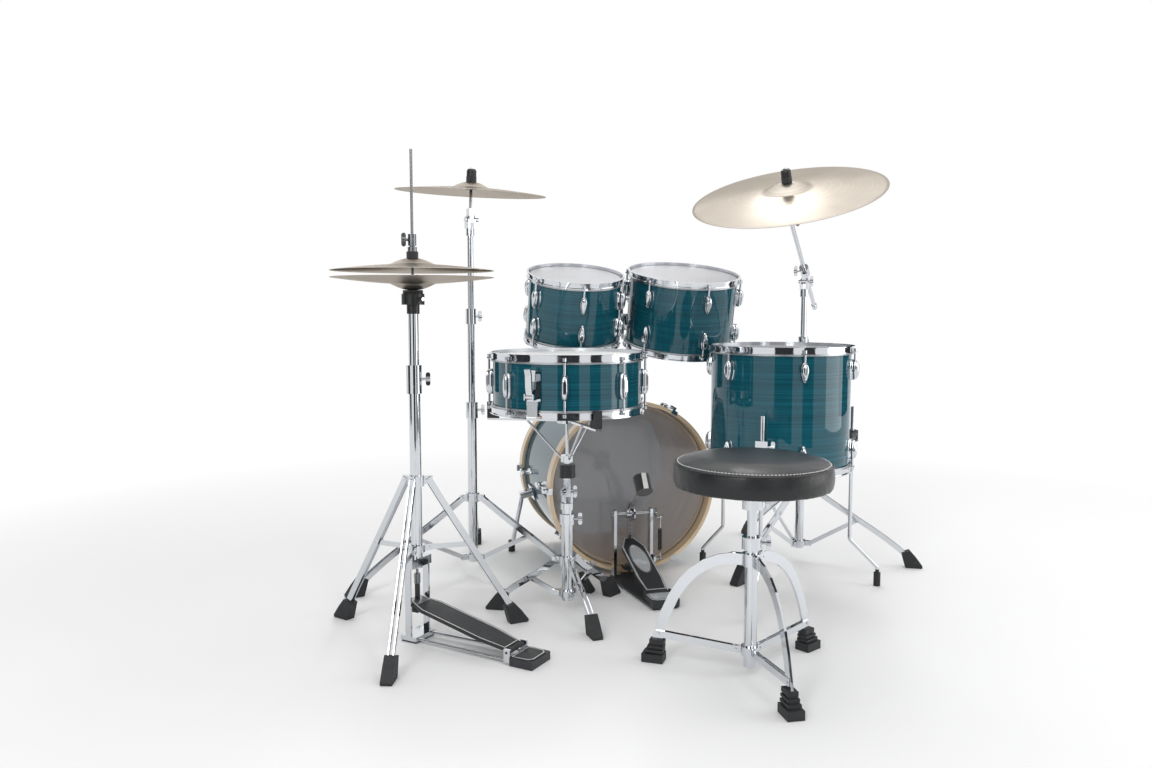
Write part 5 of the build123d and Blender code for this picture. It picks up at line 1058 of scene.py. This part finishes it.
def hang_chain():
    """A copy of the chain with its doubled points merged, riding on the kit."""
    mesh = bmesh.new()
    mesh.from_mesh(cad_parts["pedal_chain"].data)
    bmesh.ops.remove_doubles(mesh, verts=mesh.verts, dist=1e-6)
    link = steel("pressed_chain_steel", linear("#8f9498"), 0.3)
    piece = new_piece("drive_chain", mesh, [link], "", smooth=False)
    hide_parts("pedal_chain")
    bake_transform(piece)
    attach(piece, "kit")


def wind_spring():
    """The return spring: a close wound black coil with a plated hook at each end."""
    low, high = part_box("pedal_spring")
    middle = (low + high) / 2
    hook, bottom, top = 4.2 * MM, 58 * MM, 174 * MM
    coil_low, coil_high = 82 * MM, 141 * MM
    reach, turns, each = sizes().coil, sizes().turns, 12
    lead, lift = 8 * MM, 6 * MM
    round_x, round_z = 0.7 * hook, 0.75 * hook
    route = [(-hook, 0, bottom), (-round_x, 0, bottom - round_z), (0, 0, bottom - hook)]
    route += [(round_x, 0, bottom - round_z), (hook, 0, bottom), (hook, 0, bottom + lift)]
    route += [(0.4 * hook, 0, coil_low - lead)]
    steps = turns * each
    for step in range(steps + 1):
        turn = 2 * math.pi * step / each
        height = coil_low + (coil_high - coil_low) * step / steps
        route.append((reach * math.cos(turn), reach * math.sin(turn), height))
    route += [(0.4 * hook, 0, coil_high + lead), (hook, 0, top - lift), (hook, 0, top)]
    route += [(round_x, 0, top + round_z), (0, 0, top + hook), (-round_x, 0, top + round_z)]
    route += [(-hook, 0, top)]
    data = bpy.data.curves.new("spring_route", "CURVE")
    data.dimensions = "3D"
    data.bevel_depth = sizes().wire
    data.bevel_resolution = 2
    data.resolution_u = 3
    data.use_fill_caps = True
    line = data.splines.new("NURBS")
    line.points.add(len(route) - 1)
    for point, spot in zip(line.points, route):
        point.co = (middle.x - spot[1], middle.y - spot[0], spot[2], 1)
    line.order_u = 3
    line.use_endpoint_u = True
    bent = bpy.data.objects.new("spring_route", data)
    bpy.context.scene.collection.objects.link(bent)
    bpy.context.view_layer.update()
    held = bent.evaluated_get(bpy.context.evaluated_depsgraph_get())
    shape = bpy.data.meshes.new_from_object(held)
    bpy.data.objects.remove(bent)
    mesh = bmesh.new()
    mesh.from_mesh(shape)
    spare = 2 * MM
    for face in mesh.faces:
        height = face.calc_center_median().z
        face.material_index = 0 if coil_low - spare < height < coil_high + spare else 1
    black = steel("blackened_spring_wire", linear("#2c2e31"), 0.38)
    piece = new_piece("return_spring", mesh, [black, chrome()], "")
    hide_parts("pedal_spring")
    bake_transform(piece)
    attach(piece, "kit")


class DRUMKIT_OT_pedals(bpy.types.Operator):
    """Finishes the two pedals: covered boards, heel plates, beater, chain and spring"""

    bl_idname = "drumkit.pedals"
    bl_label = "Pedals"
    bl_options = {"REGISTER", "UNDO"}

    def execute(self, context):
        dress("pedal_footboard", [powder_coat()])
        dress("hihat_footboard", [powder_coat()])
        cover_boards()
        dress_beater()
        dress_pedal_base()
        hang_chain()
        wind_spring()
        return {"FINISHED"}


def white_surround(scene):
    """A white surround for the eye, mirrors and films, and a softer one for the light."""
    world = bpy.data.worlds.new("studio")
    scene.world = world
    world.use_nodes = True
    tree = world.node_tree
    back = next(node for node in tree.nodes if node.type == "BACKGROUND")
    ray = add(tree, "LightPath").node.outputs
    seen = add(tree, "Math", {0: ray["Is Camera Ray"], 1: ray["Is Glossy Ray"]}, operation="MAXIMUM")
    seen = add(tree, "Math", {0: seen, 1: ray["Is Transmission Ray"]}, operation="MAXIMUM")
    add(tree, "MapRange", {0: seen, 3: ROOM_LIGHT, 4: 1.0}, to=back.inputs["Strength"])
    back.inputs["Color"].default_value = (1, 1, 1, 1)


def lay_floor():
    side, below = 60, -0.5 * MM
    shadow_reach, white_from = 1.3, 2.6
    material, tree, shader = finish("painted_floor", linear("#f7f7f7"), 0.6)
    out = add(tree, "VectorMath", {0: own_space(tree)}, out=1, operation="LENGTH")
    far = add(tree, "MapRange", {0: out, 1: shadow_reach, 2: white_from})
    ray = add(tree, "LightPath").node.outputs
    seen = add(tree, "Math", {0: ray["Is Camera Ray"], 1: ray["Is Glossy Ray"]}, operation="MAXIMUM")
    share = add(tree, "Math", {0: far, 1: seen}, operation="MULTIPLY")
    white = add(tree, "Emission", {"Color": (1, 1, 1, 1), "Strength": 1.0})
    output = next(node for node in tree.nodes if node.type == "OUTPUT_MATERIAL")
    add(tree, "MixShader", {0: share, 1: shader.outputs[0], 2: white}, to=output.inputs["Surface"])
    lie = Matrix.Translation((0, 0, below)) @ Matrix.Diagonal((side, side, 1, 1))
    stage_card("studio_floor", lie, material)


def stage_card(name, place, material):
    """A flat square of one metre, put in its place on the stage."""
    mesh = bmesh.new()
    bmesh.ops.create_grid(mesh, x_segments=1, y_segments=1, size=0.5)
    bmesh.ops.transform(mesh, matrix=place, verts=mesh.verts)
    data = bpy.data.meshes.new(name)
    mesh.to_mesh(data)
    mesh.free()
    data.materials.append(material)
    card = bpy.data.objects.new(name, data)
    bpy.context.scene.collection.objects.link(card)
    return card


def hang_flags():
    """Dark cards that only mirrors and gloss see, so that plate and lacquer get contrast."""
    material, _, _ = finish("black_flag", linear("#2b2d30"), 0.9)
    for name, spot, width, height, turn in (
        ("flag_front", (-0.95, -2.9, 0.95), 1.7, 1.9, 0),
        ("flag_front_right", (1.15, -2.7, 0.95), 0.9, 1.9, 20),
        ("flag_left", (-4.4, -0.2, 2.0), 2.8, 4.0, -86),
        ("flag_right", (4.5, 0.5, 2.0), 2.4, 4.0, 90),
        ("flag_back_left", (-2.6, 4.2, 1.2), 1.6, 2.2, -150),
        ("flag_back_right", (2.8, 4.0, 1.2), 1.4, 2.2, 145),
    ):
        stand = Matrix.Translation(spot) @ Matrix.Rotation(math.radians(turn), 4, "Z")
        stand = stand @ Matrix.Rotation(math.pi / 2, 4, "X") @ Matrix.Diagonal((width, height, 1, 1))
        flag = stage_card(name, stand, material)
        flag.visible_camera = flag.visible_diffuse = flag.visible_shadow = False
        flag.visible_transmission = False


class DRUMKIT_OT_stage(bpy.types.Operator):
    """Sets the floor, the studio light and the camera"""

    bl_idname = "drumkit.stage"
    bl_label = "Stage"
    bl_options = {"REGISTER", "UNDO"}

    def execute(self, context):
        scene = context.scene
        scene.view_settings.view_transform = "Standard"
        white_surround(scene)
        lay_floor()
        for name, spot, aim, width, height, power in (
            ("key_box", (-2.2, -2.6, 2.3), (0, 0.1, 0.5), 0.8, 2.4, 40),
            ("fill_box", (3.3, -1.1, 1.4), (0, 0.1, 1.0), 2.4, 2.8, 42),
            ("front_box", (0.4, -3.6, 2.2), (0, 0.1, 0.5), 0.35, 2.0, 16),
            ("top_box", (0.0, 0.2, 3.4), (0, 0.2, 0.0), 2.6, 2.2, 21),
            ("back_box", (0.6, 2.6, 3.4), (0, 0.2, 0.6), 2.6, 1.2, 20),
            ("gleam_box", (0.93, 1.66, 3.1), (0.35, 0.1, 1.0), 0.35, 0.35, 7),
        ):
            lamp = bpy.data.lights.new(name, "AREA")
            lamp.shape = "RECTANGLE"
            lamp.size, lamp.size_y, lamp.energy = width, height, power
            holder = bpy.data.objects.new(name, lamp)
            holder.location = spot
            holder.rotation_euler = (Vector(aim) - Vector(spot)).to_track_quat("-Z", "Y").to_euler()
            # The lamp behind only lights: mirrored in a cymbal or a head it would hide their colour
            holder.visible_glossy = name != "back_box"
            scene.collection.objects.link(holder)
        hang_flags()
        lens = bpy.data.cameras.new("photo_camera")
        lens.lens = PHOTO_LENS
        lens.sensor_width = 36.0
        camera = bpy.data.objects.new("photo_camera", lens)
        camera.location = PHOTO_SPOT
        camera.rotation_euler = (math.radians(PHOTO_TILT), 0, math.radians(PHOTO_HEADING))
        scene.collection.objects.link(camera)
        scene.camera = camera
        return {"FINISHED"}


class DRUMKIT_PT_panel(bpy.types.Panel):
    bl_idname = "DRUMKIT_PT_panel"
    bl_label = "Drum Kit"
    bl_space_type = "VIEW_3D"
    bl_region_type = "UI"
    bl_category = "Drum Kit"

    def draw(self, context):
        for step in STEPS:
            self.layout.operator(step.bl_idname)
        for group in (context.scene.drum_kit_colours, context.scene.drum_kit_sizes):
            box = self.layout.box()
            for key in group.__annotations__:
                box.prop(group, key)


STEPS = (
    DRUMKIT_OT_shells,
    DRUMKIT_OT_heads,
    DRUMKIT_OT_hoops,
    DRUMKIT_OT_fittings,
    DRUMKIT_OT_lugs,
    DRUMKIT_OT_stands,
    DRUMKIT_OT_cymbals,
    DRUMKIT_OT_seat,
    DRUMKIT_OT_pedals,
    DRUMKIT_OT_stage,
)
CLASSES = (DrumKitColours, DrumKitSizes, *STEPS, DRUMKIT_PT_panel)


def register():
    for kind in CLASSES:
        bpy.utils.register_class(kind)
    bpy.types.Scene.drum_kit_colours = PointerProperty(type=DrumKitColours)
    bpy.types.Scene.drum_kit_sizes = PointerProperty(type=DrumKitSizes)


def unregister():
    del bpy.types.Scene.drum_kit_sizes
    del bpy.types.Scene.drum_kit_colours
    for kind in reversed(CLASSES):
        bpy.utils.unregister_class(kind)


def main():
    register()
    for step in STEPS:
        group, name = step.bl_idname.split(".")
        getattr(getattr(bpy.ops, group), name)()


if __name__ == "__main__":
    main()
